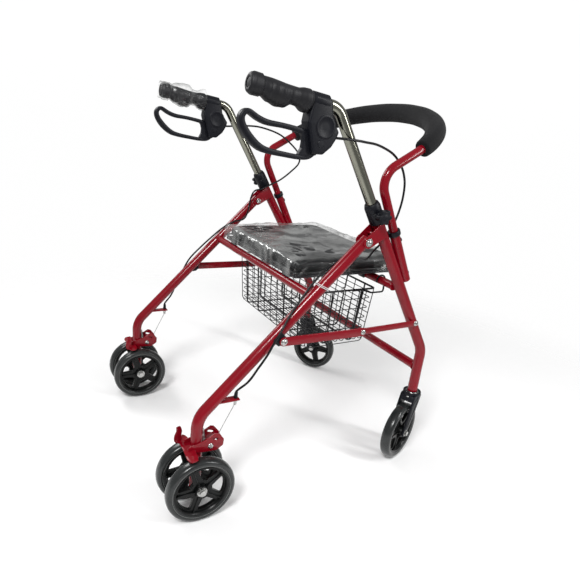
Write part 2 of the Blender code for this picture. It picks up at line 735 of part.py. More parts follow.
def caster_fork(side):
    """The fork, with its stem, crown, two arms and the axle between them."""
    swivel, centre, axis = caster_frame(side)
    name = f"caster_fork_{side}"
    profile = [(0, 0.219), (0.0068, 0.219), (0.0068, 0.1813), (0.0215, 0.1813), (0.0225, 0.178),
               (0.0225, 0.160), (0, 0.160)]
    crown = turned(name, profile, swivel, Z, BLACK, 16)
    outline = soft_outline([(0.018, 0.176), (-0.022, 0.176), (-0.030, 0.150), (-0.0500, 0.0730),
                            (-0.0395, 0.0630), (-0.0290, 0.0730), (0.012, 0.150)], 0.006, 2)
    turn = Matrix.Translation(swivel) @ Matrix.Rotation(radians(CASTER_YAW[side]), 4, "Z")
    for label, sign in (("outer", 1), ("inner", -1)):
        arm = plate(f"{name}_{label}", [outline], 0.0045, 0)
        arm.data.transform(Matrix.Translation(X * sign * 0.0178) @ arm.matrix_world)
        arm.matrix_world = turn
        join(crown, arm)
    axle = rod(f"{name}_axle", centre - axis * 0.0235, centre + axis * 0.0235, 0.004, sides=12)
    return join(crown, axle)


# Brake cables
def leg_point(side, down, rear, out):
    """A point beside the rear leg: so far down it, to its rear and up, and outwards."""
    along, up = Vector((0, -1, -1)).normalized(), Vector((0, -1, 1)).normalized()
    return at(side, HINGE + along * down + up * rear, out)


UPPER_ROUTE = {
    "r": [(0.008, -0.0600, 0.7870), (0.0150, -0.0330, 0.7868), (0.0160, -0.0080, 0.7860),
          (0.0130, 0.0200, 0.7840), (0.004, 0.0600, 0.7800), (-0.012, 0.1140, 0.7650),
          (-0.018, 0.1460, 0.7420), (-0.0225, 0.1640, 0.7190), (-0.0250, 0.1720, 0.6955),
          (-0.0250, 0.1715, 0.6630), (-0.0245, 0.1620, 0.6260), (-0.0230, 0.1400, 0.5850),
          (-0.0210, 0.1100, 0.5580)],
    "l": [(0.008, -0.0600, 0.7870), (0.0150, -0.0330, 0.7880), (0.0160, -0.0080, 0.7905),
          (0.0120, 0.0200, 0.7935), (0.000, 0.0650, 0.7930), (-0.0200, 0.1180, 0.7780),
          (-0.0240, 0.1620, 0.7500), (-0.0260, 0.1860, 0.7250), (-0.0250, 0.1880, 0.7010),
          (-0.0245, 0.1650, 0.6770), (-0.0240, 0.1320, 0.6520), (-0.0230, 0.0980, 0.6350),
          (-0.0215, 0.0710, 0.6220)],
}


def upper_path(side):
    return smooth_route([at(side, (0, y, z), dx) for dx, y, z in UPPER_ROUTE[side]], 2)


def upper_cable(side):
    """From the lever's housing, round the front of the backrest and back to the hinge."""
    return tube(f"upper_cable_{side}", upper_path(side), CABLE_R, CABLE, 2)


def lower_cable(side):
    """From the hinge, round the rear leg and down to the tab, with the bare wire's sleeve."""
    before, start = upper_path(side)[-2:]
    ahead = (start - before).normalized()
    route = [start + ahead * 2 * GAP, start + ahead * 0.030, leg_point(side, 0.062, -0.006, -0.0190),
             leg_point(side, 0.098, 0.010, -0.0165), leg_point(side, 0.135, 0.0175, -0.0080),
             leg_point(side, 0.180, 0.0185, 0.0010), leg_point(side, 0.225, 0.0170, 0.0100),
             leg_point(side, 0.262, 0.0125, 0.0200), leg_point(side, 0.290, 0.0060, 0.0215),
             leg_point(side, 0.318, -0.0040, 0.0200), leg_point(side, 0.350, -0.0130, 0.0160),
             leg_point(side, 0.385, -0.0230, 0.0100),
             at(side, CABLE_TAB + Vector((0, 0.001, 0.018)), 0.002), at(side, CABLE_TAB + Z * 0.0020)]
    return tube(f"lower_cable_{side}", smooth_route(route, 2), CABLE_R, CABLE, 2)


# Assembly
def build():
    front_cutters = leg_cutters("front_leg_cutter", front_axis(0.35), front_axis(0.66))
    foot, knee = Vector((0, FRONT_FOOT_Y, 0.20)), Vector((0, FRONT_FOOT_Y, 0.30))
    low_cutters = leg_cutters("front_foot_cutter", foot, knee)
    rear_cutters = leg_cutters("rear_leg_cutter", HINGE, HINGE + Vector((0, -0.3, -0.3)))
    cross_tube("front_cross_tube", FRONT_CROSS, CROSS_R, TRACK - 0.005, front_cutters)
    cross_tube("lower_cross_tube", LOW_CROSS, LOW_CROSS_R, TRACK - 0.008, low_cutters)
    rear_cross = cross_tube("rear_cross_tube", REAR_CROSS, CROSS_R, TRACK - 0.008, rear_cutters)
    socket_cutters = dict(zip(SIDES, leg_cutters("socket_leg_cutter", front_axis(0.40), front_axis(0.70))))

    rear_pieces = [rear_cross]
    for side in SIDES:
        front_leg(side)
        hinge_bracket(side)
        hinge_bolt(side)
        backrest_socket(side, socket_cutters[side])
        height_collar(side)
        rear_pieces += [rear_leg(side), link_bracket(side), rear_axle(side), lower_cable(side)]
    fold = joint("frame_fold_axis", HINGE, rear_pieces)

    joint("seat_axis", FRONT_CROSS, [seat_board(), seat_cushion()])
    joint("basket_axis", FRONT_CROSS, [basket()])
    joint("backrest_axis", SOCKET_TOP, [backrest_tube(), backrest_pad()])

    for side in SIDES:
        joint(f"snap_button_axis_{side}", at(side, SOCKET_TOP), [snap_button(side)])
        joint(f"clamp_knob_axis_{side}", at(side, front_axis(0.643)), [clamp_knob(side)])
        handle = joint(f"handle_axis_{side}", at(side, front_axis(FRONT_TOP_Z)),
                       [handle_tube(side), grip(side), brake_housing(side), upper_cable(side)])
        joint(f"lever_axis_{side}", at(side, LEVER_PIVOT), [brake_lever(side)], handle)
        front_bar = side_link("front_link", side, LINK_D, LINK_C, FRONT_LINK_X, 0.0150, 0.0043)
        joint(f"front_link_axis_{side}", at(side, LINK_D), [front_bar])
        joint(f"rear_link_axis_{side}", at(side, LINK_B), [rear_link(side)], fold)
        joint(f"brake_arm_axis_{side}", at(side, BRAKE_PIVOT), [brake_arm(side)], fold)
        for place_name, sign in (("outer", 1), ("inner", -1)):
            centre = at(side, (0, REAR_FOOT_Y, WHEEL_R), sign * TWIN_OFFSET)
            pieces = [hub(f"rear_hub_{place_name}_{side}", centre, X, 0.0128, AXLE_R + GAP),
                      tyre(f"rear_tyre_{place_name}_{side}", centre, X)]
            joint(f"rear_wheel_axis_{place_name}_{side}", centre, pieces, fold)
        swivel, centre, axis = caster_frame(side)
        fork = joint(f"caster_axis_{side}", swivel, [caster_fork(side)])
        wheel = [hub(f"caster_hub_{side}", centre, axis, 0.0150, 0.004 + GAP),
                 tyre(f"caster_tyre_{side}", centre, axis)]
        joint(f"caster_wheel_axis_{side}", centre, wheel, fork)


build()
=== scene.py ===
"""Looks for the rollator walker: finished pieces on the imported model's bodies."""
from math import cos, exp, hypot, pi, radians, sin, tan

import bmesh
import bpy
from mathutils import Matrix, Vector, noise


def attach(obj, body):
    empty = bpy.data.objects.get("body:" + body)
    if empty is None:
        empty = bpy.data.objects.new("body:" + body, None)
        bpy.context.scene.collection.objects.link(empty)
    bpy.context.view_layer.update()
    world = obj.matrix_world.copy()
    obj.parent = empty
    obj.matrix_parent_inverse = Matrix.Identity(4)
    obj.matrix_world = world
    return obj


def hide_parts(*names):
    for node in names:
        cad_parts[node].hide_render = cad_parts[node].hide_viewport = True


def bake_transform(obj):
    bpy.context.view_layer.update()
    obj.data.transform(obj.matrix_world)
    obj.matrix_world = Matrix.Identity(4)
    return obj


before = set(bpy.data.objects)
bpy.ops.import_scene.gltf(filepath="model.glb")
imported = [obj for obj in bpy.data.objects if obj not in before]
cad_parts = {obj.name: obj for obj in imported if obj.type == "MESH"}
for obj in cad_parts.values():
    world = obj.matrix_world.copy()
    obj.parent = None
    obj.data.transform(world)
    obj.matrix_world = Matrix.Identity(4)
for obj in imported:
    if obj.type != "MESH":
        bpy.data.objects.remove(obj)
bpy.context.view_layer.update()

X, Y, Z = Vector((1, 0, 0)), Vector((0, 1, 0)), Vector((0, 0, 1))
SIDES = {"r": 1, "l": -1}

# Dimensions, as in the CAD
TRACK = 0.2691
LEG_R = 0.0127
FRONT_FOOT = Vector((0, 0.300, 0.182))
FRONT_KNEE_Z = 0.300
FRONT_LEAN = tan(radians(32.5))
FRONT_TOP_Z = 0.650
REAR_FOOT = Vector((0, -0.296, 0.056))
REAR_KNEE = Vector((0, -0.296, 0.2255))
KNEE_R = 0.06
CROSS_R = 0.0095
LOW_CROSS_R = 0.0111
FRONT_CROSS = Vector((0, 0.180, 0.4745))
REAR_CROSS = Vector((0, -0.050, 0.4715))
LOW_CROSS = Vector((0, 0.300, 0.2495))
HINGE = Vector((0, 0.0655, 0.587))
LINK_B = Vector((0, -0.119, 0.3838))
LINK_C = Vector((0, 0.0859, 0.3815))
LINK_D = Vector((0, 0.2466, 0.3838))
WHEEL_R = 0.0757
TWIN_OFFSET = 0.035
CASTER_TRAIL = 0.0393
CASTER_YAW = {"r": 21.4, "l": 123.1}
GRIP_RISE = Vector((0, -1, 0.1228)).normalized()
HANDLE_CORNER = Vector((0, -0.0435, 0.8392))
HANDLE_R = 0.0111
HOUSING_BACK_Y = -0.107
GRIP_L = 0.122
LEVER_PIVOT = Vector((0, -0.083, 0.775))
SOCKET_TOP = Vector((0, 0.1411, 0.6054))
SOCKET_UP = Vector((0, -0.5317, 1)).normalized()
SOCKET_AHEAD = Vector((0, SOCKET_UP.z, -SOCKET_UP.y))
SOCKET_R = 0.0111
BACK_TUBE_R = 0.0095
BACK_START = Vector((0, 0.168, 0.7733))
BACK_APEX = Vector((0, 0.316, 0.8578))
PAD_R = 0.0225
SEAT_X = 0.200
SEAT_Y = (-0.058, 0.244)
SEAT_MID_Y = sum(SEAT_Y) / 2
SEAT_Z = 0.489
BOARD_T = 0.006
CUSHION_T = 0.0315
BRAKE_PIVOT = Vector((0, -0.270, 0.1634))
CABLE_R = 0.0024
CABLE_TAB = Vector((0, -0.213, 0.258))
FLOOR_HALF = 3
FLOOR_FADE = (0.75, 1.7)
WORLD_LIGHT, WORLD_SEEN = 0.40, 1.05
STUDIO_MIDDLE = (0, 0, 0.5)


# Camera
def add_camera():
    azimuth, elevation, roll = radians(60.96878), radians(20.73517), radians(5.18321)
    back = Vector((sin(azimuth) * cos(elevation), -cos(azimuth) * cos(elevation), sin(elevation)))
    right = (-back).cross(Z).normalized()
    up = back.cross(right)
    side = right * cos(roll) + up * sin(roll)
    top = up * cos(roll) - right * sin(roll)
    data = bpy.data.cameras.new("camera")
    data.sensor_width = 36
    data.lens = 30.116
    data.shift_x = 0.0338
    data.shift_y = 0.0377
    camera = bpy.data.objects.new("camera", data)
    camera.matrix_world = Matrix((side, top, back)).transposed().to_4x4()
    camera.location = (1.07363, -0.5942, 0.79513)
    bpy.context.scene.collection.objects.link(camera)
    bpy.context.scene.camera = camera


# Floor and light
def add_light(name, place, target, size, power, size_y=None):
    data = bpy.data.lights.new(name, "AREA")
    data.energy = power
    data.size = size
    if size_y:
        data.shape = "RECTANGLE"
        data.size_y = size_y
    lamp = bpy.data.objects.new(name, data)
    lamp.location = place
    lamp.rotation_euler = (Vector(target) - Vector(place)).to_track_quat("-Z", "Y").to_euler()
    bpy.context.scene.collection.objects.link(lamp)


def add_floor():
    """A pale paper floor that fades out away from the object."""
    made = bmesh.new()
    bmesh.ops.create_grid(made, x_segments=1, y_segments=1, size=FLOOR_HALF)
    mesh = bpy.data.meshes.new("floor")
    made.to_mesh(mesh)
    made.free()
    floor = bpy.data.objects.new("floor", mesh)
    floor.location.z = -0.0005
    bpy.context.scene.collection.objects.link(floor)
    paper = bpy.data.materials.new("floor_paper")
    paper.use_nodes = True
    nodes, links = paper.node_tree.nodes, paper.node_tree.links
    shader = nodes["Principled BSDF"]
    shader.inputs["Base Color"].default_value = (0.93, 0.93, 0.93, 1)
    shader.inputs["Roughness"].default_value = 0.9
    spot = nodes.new("ShaderNodeTexCoord")
    reach = nodes.new("ShaderNodeVectorMath")
    reach.operation = "LENGTH"
    fade = nodes.new("ShaderNodeMapRange")
    fade.interpolation_type = "SMOOTHSTEP"
    fade.inputs["From Min"].default_value, fade.inputs["From Max"].default_value = FLOOR_FADE
    fade.inputs["To Min"].default_value = 1.0
    fade.inputs["To Max"].default_value = 0.0
    links.new(spot.outputs["Object"], reach.inputs[0])
    links.new(reach.outputs["Value"], fade.inputs["Value"])
    links.new(fade.outputs[0], shader.inputs["Alpha"])
    mesh.materials.append(paper)


def add_world():
    """A near-white surround: soft light on the object, and a white background behind it."""
    world = bpy.data.worlds.new("studio")
    bpy.context.scene.world = world
    world.use_nodes = True
    nodes, links = world.node_tree.nodes, world.node_tree.links
    coords = nodes.new("ShaderNodeTexCoord")
    split = nodes.new("ShaderNodeSeparateXYZ")
    ramp = nodes.new("ShaderNodeValToRGB")
    ramp.color_ramp.elements[0].position = 0.0
    ramp.color_ramp.elements[0].color = (0.95, 0.95, 0.95, 1)
    ramp.color_ramp.elements[1].position = 0.75
    ramp.color_ramp.elements[1].color = (1, 1, 1, 1)
    links.new(coords.outputs["Generated"], split.inputs[0])
    links.new(split.outputs["Z"], ramp.inputs[0])
    links.new(ramp.outputs[0], nodes["Background"].inputs[0])
    seen = nodes.new("ShaderNodeLightPath")
    strength = nodes.new("ShaderNodeMapRange")
    strength.inputs["To Min"].default_value = WORLD_LIGHT
    strength.inputs["To Max"].default_value = WORLD_SEEN
    links.new(seen.outputs["Is Camera Ray"], strength.inputs["Value"])
    links.new(strength.outputs[0], nodes["Background"].inputs[1])


def add_studio():
    add_floor()
    add_world()
    add_light("key", (1.5, -1.6, 2.4), STUDIO_MIDDLE, 0.7, 62)
    add_light("fill", (-1.8, -0.9, 1.9), STUDIO_MIDDLE, 0.9, 24)
    add_light("strip", (1.7, 1.3, 1.6), STUDIO_MIDDLE, 0.25, 28, 1.6)
    bpy.context.scene.view_settings.view_transform = "Standard"


# Materials
def finish(name, colour, roughness, metallic=0.0, mottle=(9, 0.12), spread=0.06, grain=(900, 0.25, 0.0002),
           cells=False, coat=0.0, specular=0.5, sheen=0.0, alpha=1.0):
    """A material whose colour and gloss vary softly, with a fine grain in its bump.

    mottle is (scale, share of the colour); grain is (scale, strength, depth in metres).
    """
    material = bpy.data.materials.new(name)
    material.use_nodes = True
    nodes, links = material.node_tree.nodes, material.node_tree.links
    shader = nodes["Principled BSDF"]
    shader.inputs["Metallic"].default_value = metallic
    shader.inputs["Coat Weight"].default_value = coat
    shader.inputs["Coat Roughness"].default_value = 0.06
    shader.inputs["Specular IOR Level"].default_value = specular
    shader.inputs["Sheen Weight"].default_value = sheen
    shader.inputs["Alpha"].default_value = alpha
    coords = nodes.new("ShaderNodeTexCoord")

    cloud = nodes.new("ShaderNodeTexNoise")
    cloud.inputs["Scale"].default_value = mottle[0]
    cloud.inputs["Detail"].default_value = 6
    links.new(coords.outputs["Object"], cloud.inputs["Vector"])
    tint = nodes.new("ShaderNodeValToRGB")
    low, high = tint.color_ramp.elements
    low.position, high.position = 0.3, 0.7
    low.color = (*[c * (1 - mottle[1]) for c in colour], 1)
    high.color = (*[min(1, c * (1 + mottle[1])) for c in colour], 1)
    links.new(cloud.outputs["Fac"], tint.inputs[0])
    links.new(tint.outputs[0], shader.inputs["Base Color"])

    gloss = nodes.new("ShaderNodeMapRange")
    gloss.inputs["To Min"].default_value = max(0.02, roughness - spread)
    gloss.inputs["To Max"].default_value = min(1, roughness + spread)
    links.new(cloud.outputs["Fac"], gloss.inputs["Value"])
    links.new(gloss.outputs[0], shader.inputs["Roughness"])

    fine = nodes.new("ShaderNodeTexVoronoi" if cells else "ShaderNodeTexNoise")
    fine.inputs["Scale"].default_value = grain[0]
    links.new(coords.outputs["Object"], fine.inputs["Vector"])
    bump = nodes.new("ShaderNodeBump")
    bump.inputs["Strength"].default_value = grain[1]
    bump.inputs["Distance"].default_value = grain[2]
    links.new(fine.outputs["Distance" if cells else "Fac"], bump.inputs["Height"])
    links.new(bump.outputs[0], shader.inputs["Normal"])
    return material


RED = finish("red_paint", (0.20, 0.0015, 0.008), 0.20, mottle=(14, 0.07), spread=0.04,
             grain=(420, 0.10, 0.0003), coat=0.3, specular=0.18)
# The chrome's dark olive base colour is painted reflection: it stands in for the dark surroundings that the
# chrome tubes reflect.
CHROME = finish("chrome", (0.23, 0.23, 0.19), 0.13, 1.0, mottle=(30, 0.08), spread=0.04,
                grain=(1500, 0.04, 0.0001))
ZINC = finish("zinc_steel", (0.48, 0.48, 0.47), 0.26, 1.0, mottle=(60, 0.15), spread=0.08,
              grain=(1200, 0.15, 0.0001))
PLASTIC = finish("black_plastic", (0.0045, 0.005, 0.008), 0.42, mottle=(20, 0.15),
                 grain=(1800, 0.25, 0.00008), specular=0.22)
HUB = finish("hub_plastic", (0.003, 0.0035, 0.0035), 0.28, mottle=(25, 0.15), grain=(900, 0.12, 0.00008),
             specular=0.22)
GRIP = finish("grip_rubber", (0.009, 0.009, 0.011), 0.48, mottle=(35, 0.2), grain=(1600, 0.4, 0.0001),
              specular=0.30)
WIRE = finish("black_wire", (0.003, 0.003, 0.004), 0.30, mottle=(40, 0.2), grain=(600, 0.2, 0.0001),
              specular=0.25)
RUBBER = finish("tyre_polyurethane", (0.016, 0.018, 0.018), 0.24, mottle=(16, 0.18), spread=0.07,
                grain=(500, 0.12, 0.0001), specular=0.45)
SEAM = finish("tyre_seam", (0.11, 0.115, 0.11), 0.45, mottle=(60, 0.3), grain=(900, 0.3, 0.0001))
FOAM = finish("foam", (0.004, 0.004, 0.005), 0.80, mottle=(30, 0.25), grain=(1400, 0.7, 0.0004), cells=True,
              specular=0.20, sheen=0.05)
VINYL = finish("seat_vinyl", (0.006, 0.007, 0.008), 0.40, mottle=(18, 0.2), grain=(480, 0.45, 0.0004),
               cells=True, specular=0.30)
JACKET = finish("cable_jacket", (0.004, 0.004, 0.005), 0.35, mottle=(60, 0.2), grain=(1500, 0.15, 0.0001),
                specular=0.30)
STEEL = finish("brake_wire", (0.40, 0.40, 0.40), 0.30, 1.0, mottle=(90, 0.2), grain=(2500, 0.4, 0.0001))
NYLON = finish("nylon_tie", (0.75, 0.75, 0.76), 0.40, mottle=(60, 0.08), grain=(1500, 0.1, 0.0001))


def film_material():
    """Thin clear film: see-through where it lies flat to the eye, silvery where it is seen along."""
    material = bpy.data.materials.new("clear_film")
    material.use_nodes = True
    nodes, links = material.node_tree.nodes, material.node_tree.links
    shader = nodes["Principled BSDF"]
    shader.inputs["Base Color"].default_value = (0.60, 0.61, 0.60, 1)
    shader.inputs["Metallic"].default_value = 0.55
    shader.inputs["Specular IOR Level"].default_value = 0.8
    coords = nodes.new("ShaderNodeTexCoord")
    crease = nodes.new("ShaderNodeTexNoise")
    crease.inputs["Scale"].default_value = 6.5
    crease.inputs["Detail"].default_value = 7
    crease.inputs["Distortion"].default_value = 1.8
    links.new(coords.outputs["Object"], crease.inputs["Vector"])
    milk = nodes.new("ShaderNodeMapRange")
    milk.inputs["From Min"].default_value = 0.38
    milk.inputs["From Max"].default_value = 0.66
    milk.inputs["To Min"].default_value = 0.25
    milk.inputs["To Max"].default_value = 1.0
    links.new(crease.outputs["Fac"], milk.inputs["Value"])
    edge_on = nodes.new("ShaderNodeLayerWeight")
    edge_on.inputs["Blend"].default_value = 0.5
    lift = nodes.new("ShaderNodeMapRange")
    lift.inputs["From Min"].default_value = 0.22
    lift.inputs["From Max"].default_value = 0.72
    lift.inputs["To Min"].default_value = 0.06
    lift.inputs["To Max"].default_value = 0.86
    links.new(edge_on.outputs["Facing"], lift.inputs["Value"])
    both = nodes.new("ShaderNodeMath")
    both.operation = "MULTIPLY"
    links.new(milk.outputs[0], both.inputs[0])
    links.new(lift.outputs[0], both.inputs[1])
    links.new(both.outputs[0], shader.inputs["Alpha"])
    gloss = nodes.new("ShaderNodeMapRange")
    gloss.inputs["To Min"].default_value = 0.08
    gloss.inputs["To Max"].default_value = 0.22
    links.new(crease.outputs["Fac"], gloss.inputs["Value"])
    links.new(gloss.outputs[0], shader.inputs["Roughness"])
    fine = nodes.new("ShaderNodeTexNoise")
    fine.inputs["Scale"].default_value = 60
    fine.inputs["Detail"].default_value = 4
    fine.inputs["Distortion"].default_value = 1.0
    links.new(coords.outputs["Object"], fine.inputs["Vector"])
    bump = nodes.new("ShaderNodeBump")
    bump.inputs["Strength"].default_value = 0.5
    bump.inputs["Distance"].default_value = 0.001
    links.new(fine.outputs["Fac"], bump.inputs["Height"])
    links.new(bump.outputs[0], shader.inputs["Normal"])
    return material


FILM = film_material()


# Points and paths
def at(side, point, dx=0.0):
    return Vector((SIDES[side] * (TRACK + dx), point[1], point[2]))


def front_axis(z):
    return Vector((0, FRONT_FOOT.y - FRONT_LEAN * (z - FRONT_KNEE_Z), z))


LEG_UP = (front_axis(1) - front_axis(0)).normalized()
REAR_DOWN = Vector((0, -1, -1)).normalized()
REAR_UP = Vector((0, -1, 1)).normalized()


def rounded(points, radius, steps=12):
    """The polyline with each inner corner turned as an arc."""
    path = [Vector(points[0])]
    for before, corner, after in zip(points, points[1:], points[2:]):
        back = (Vector(before) - corner).normalized()
        ahead = (Vector(after) - corner).normalized()
        half = back.angle(ahead) / 2
        centre = corner + (back + ahead).normalized() * radius / sin(half)
        first = (corner + back * radius / tan(half) - centre).normalized()
        last = (corner + ahead * radius / tan(half) - centre).normalized()
        path += [centre + first.slerp(last, i / steps) * radius for i in range(steps + 1)]
    return path + [Vector(points[-1])]


def soft_ring(points, radius, steps=6):
    """A closed (y, z) outline with rounded corners."""
    corners = [Vector((y, z, 0)) for y, z in points]
    middle = (corners[-1] + corners[0]) / 2
    return [(p.x, p.y) for p in rounded([middle] + corners + [middle], radius, steps)[:-1]]


def smooth_route(points, per_span=8):
    """A Catmull-Rom curve through the points."""
    knots = [Vector(p) for p in points]
    knots = [2 * knots[0] - knots[1]] + knots + [2 * knots[-1] - knots[-2]]
    path = []
    for p0, p1, p2, p3 in zip(knots, knots[1:], knots[2:], knots[3:]):
        for i in range(per_span):
            t = i / per_span
            curve = 2 * p1 + (p2 - p0) * t + (2 * p0 - 5 * p1 + 4 * p2 - p3) * t ** 2
            path.append((curve + (3 * p1 - p0 - 3 * p2 + p3) * t ** 3) / 2)
    return path + [knots[-2]]


def arc(centre, radius, start, end, steps):
    turns = [radians(start + (end - start) * i / steps) for i in range(steps + 1)]
    return [(centre[0] + radius * cos(a), centre[1] + radius * sin(a)) for a in turns]


def circle(centre, radius, sides=32):
    return arc(centre, radius, 0, 360 - 360 / sides, sides - 1)


def stadium(a, b, radius, steps=12):
    """The outline of a bar with round ends, from a to b."""
    along = Vector(b) - Vector(a)
    turn = Vector((1, 0)).angle_signed(along, 0) * -180 / pi
    return arc(b, radius, turn - 90, turn + 90, steps) + arc(a, radius, turn + 90, turn + 270, steps)


def yz(vector):
    return vector[1], vector[2]


# Pieces
def add(name, mesh, material, body, nodes=(), sharp=35):
    """Puts a finished mesh on a body, smooth except across sharp edges."""
    made = bmesh.new()
    made.from_mesh(mesh)
    for face in made.faces:
        face.smooth = True
    for edge in made.edges:
        if len(edge.link_faces) == 2 and edge.calc_face_angle(0) > radians(sharp):
            edge.smooth = False
    made.to_mesh(mesh)
    made.free()
    mesh.materials.clear()
    mesh.materials.append(material)
    obj = bpy.data.objects.new(name, mesh)
    bpy.context.scene.collection.objects.link(obj)
    if body:
        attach(obj, body)
    if nodes:
        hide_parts(*nodes)
    return obj


def soften(obj, width=0.001, segments=3):
    """Rounds the piece's edges."""
    bevel = obj.modifiers.new("edges", "BEVEL")
    bevel.width = width
    bevel.segments = segments
    bevel.limit_method = "ANGLE"
    bevel.angle_limit = radians(35)
    bevel.harden_normals = True
    return obj


def swept_mesh(path, ring, closed=False, scale=None, caps=True):
    """A ring of (side, up) points carried along the path. scale gives each station's size."""
    count = len(path)
    tangents = []
    for i in range(count):
        before = path[(i - 1) % count] if closed or i else path[i]
        after = path[(i + 1) % count] if closed or i < count - 1 else path[i]
        tangents.append((after - before).normalized())
    normal = X if abs(tangents[0].dot(X)) < 0.9 else Z
    normal = (normal - tangents[0] * normal.dot(tangents[0])).normalized()
    frames = []
    for i, tangent in enumerate(tangents):
        if i:
            normal = tangents[i - 1].rotation_difference(tangent) @ normal
            normal = (normal - tangent * normal.dot(tangent)).normalized()
        frames.append((normal, tangent.cross(normal)))
    made = bmesh.new()
    rows = []
    for i, (point, (side, up)) in enumerate(zip(path, frames)):
        size = scale(i / (count - 1)) if scale else 1
        rows.append([made.verts.new(point + side * a * size + up * b * size) for a, b in ring])
    pairs = list(zip(rows, rows[1:])) + ([(rows[-1], rows[0])] if closed else [])
    for low, high in pairs:
        for i in range(len(ring)):
            j = (i + 1) % len(ring)
            made.faces.new((low[i], low[j], high[j], high[i]))
    if caps and not closed:
        made.faces.new(rows[0][::-1])
        made.faces.new(rows[-1])
    bmesh.ops.recalc_face_normals(made, faces=made.faces)
    mesh = bpy.data.meshes.new("swept")
    made.to_mesh(mesh)
    made.free()
    return mesh


def tube(name, path, radius, material, body, nodes=(), sides=36, **more):
    return add(name, swept_mesh(path, circle((0, 0), radius, sides), **more), material, body, nodes)


def turned_mesh(profile, base, axis, steps=48, bend=None):
    """(radius, height) points turned about an axis; bend may move each (radius, turn, height)."""
    turn = Vector(axis).to_track_quat("Z", "Y").to_matrix()
    made = bmesh.new()
    rows = []
    for radius, height in profile:
        if radius < 1e-6:
            rows.append([made.verts.new(Vector(base) + turn @ Vector((0, 0, height)))])
            continue
        row = []
        for i in range(steps):
            a = 2 * pi * i / steps
            r = bend(radius, a, height) if bend else radius
            row.append(made.verts.new(Vector(base) + turn @ Vector((r * cos(a), r * sin(a), height))))
        rows.append(row)
    for low, high in zip(rows, rows[1:]):
        for i in range(steps):
            j = (i + 1) % steps
            if len(low) == 1 and len(high) == 1:
                continue
            if len(low) == 1:
                made.faces.new((low[0], high[i], high[j]))
            elif len(high) == 1:
                made.faces.new((low[i], low[j], high[0]))
            else:
                made.faces.new((low[i], low[j], high[j], high[i]))
    if profile[0] == profile[-1]:
        bmesh.ops.remove_doubles(made, verts=made.verts, dist=1e-7)
    bmesh.ops.recalc_face_normals(made, faces=made.faces)
    mesh = bpy.data.meshes.new("turned")
    made.to_mesh(mesh)
    made.free()
    return mesh


def turned(name, profile, base, axis, material, body, nodes=(), steps=48, sharp=35, bend=None):
    return add(name, turned_mesh(profile, base, axis, steps, bend), material, body, nodes, sharp)


def rounded_rod(radius, length, edge=0.001):
    """A turned profile of a rod with rounded ends, from 0 to length."""
    low = [(radius - edge + edge * sin(radians(a)), edge - edge * cos(radians(a))) for a in (0, 30, 60, 90)]
    high = [(r, length - h) for r, h in low[::-1]]
    return [(0, 0)] + low + high + [(0, length)]


def rod(name, start, end, radius, material, body, nodes=(), edge=0.0008, steps=28):
    start, end = Vector(start), Vector(end)
    profile = rounded_rod(radius, (end - start).length, edge)
    return turned(name, profile, start, end - start, material, body, nodes, steps)


def flat_mesh(outlines, thickness, middle_x, edge=0.0006, segments=2):
    """Flat (y, z) outlines, the first outside and the rest holes, across X, with rounded edges."""
    curve = bpy.data.curves.new("flat", "CURVE")
    curve.dimensions = "2D"
    curve.fill_mode = "BOTH"
    curve.extrude = thickness / 2 - edge
    curve.bevel_depth = edge
    curve.bevel_resolution = segments
    curve.offset = -edge
    for outline in outlines:
        spline = curve.splines.new("POLY")
        spline.points.add(len(outline) - 1)
        spline.use_cyclic_u = True
        for knot, (y, z) in zip(spline.points, outline):
            knot.co = (y, z, 0, 1)
    holder = bpy.data.objects.new("flat", curve)
    bpy.context.scene.collection.objects.link(holder)
    bpy.context.view_layer.update()
    mesh = bpy.data.meshes.new_from_object(holder.evaluated_get(bpy.context.evaluated_depsgraph_get()))
    bpy.data.objects.remove(holder, do_unlink=True)
    mesh.transform(Matrix.Translation(X * middle_x) @ Matrix(((0, 0, 1, 0), (1, 0, 0, 0), (0, 1, 0, 0),
                                                             (0, 0, 0, 1))))
    made = bmesh.new()
    made.from_mesh(mesh)
    bmesh.ops.remove_doubles(made, verts=made.verts, dist=0.000005)
    bmesh.ops.recalc_face_normals(made, faces=made.faces)
    made.to_mesh(mesh)
    made.free()
    return mesh


def flat(name, outlines, thickness, middle_x, material, body, nodes=(), edge=0.0006, segments=2):
    mesh = flat_mesh(outlines, thickness, middle_x, edge, segments)
    return add(name, mesh, material, body, nodes, 40)


def prism(radius, height, sides=6, edge=0.0006):
    """A nut's or screw head's profile function: flats on a turned ring."""
    def bend(r, a, h):
        if r < radius * 0.8:
            return r
        step = 2 * pi / sides
        return min(r, radius * cos(step / 2) / cos((a % step) - step / 2))
    return [(0, 0), (radius * 0.86, 0), (radius, edge), (radius, height - edge), (radius * 0.86, height),
            (0, height)], bend


def nut(name, base, axis, radius, height, body, material=ZINC):
    profile, bend = prism(radius, height)
    return turned(name, profile, base, axis, material, body, steps=48, sharp=20, bend=bend)


def dome_head(name, base, axis, radius, height, body, material=ZINC):
    """A rounded screw head with a hexagon socket."""
    dome = [(radius * cos(radians(a)), height * sin(radians(a))) for a in (0, 15, 30, 45, 60)]
    key = radius * 0.38
    profile = [(radius, -0.0004)] + dome + [(key, height * 0.93), (key, height * 0.4), (0, height * 0.4)]
    return turned(name, profile, base, axis, material, body, steps=36)


def screw_thread(name, start, end, radius, pitch, body, material=ZINC):
    """A rod with ridges, for a threaded end."""
    length = (Vector(end) - Vector(start)).length
    turns = int(length / pitch)
    profile = [(0, 0)]
    for i in range(turns):
        profile += [(radius * 0.86, i * pitch), (radius, (i + 0.5) * pitch)]
    profile += [(radius * 0.86, turns * pitch), (0, turns * pitch)]
    return turned(name, profile, start, Vector(end) - Vector(start), material, body, steps=20, sharp=60)


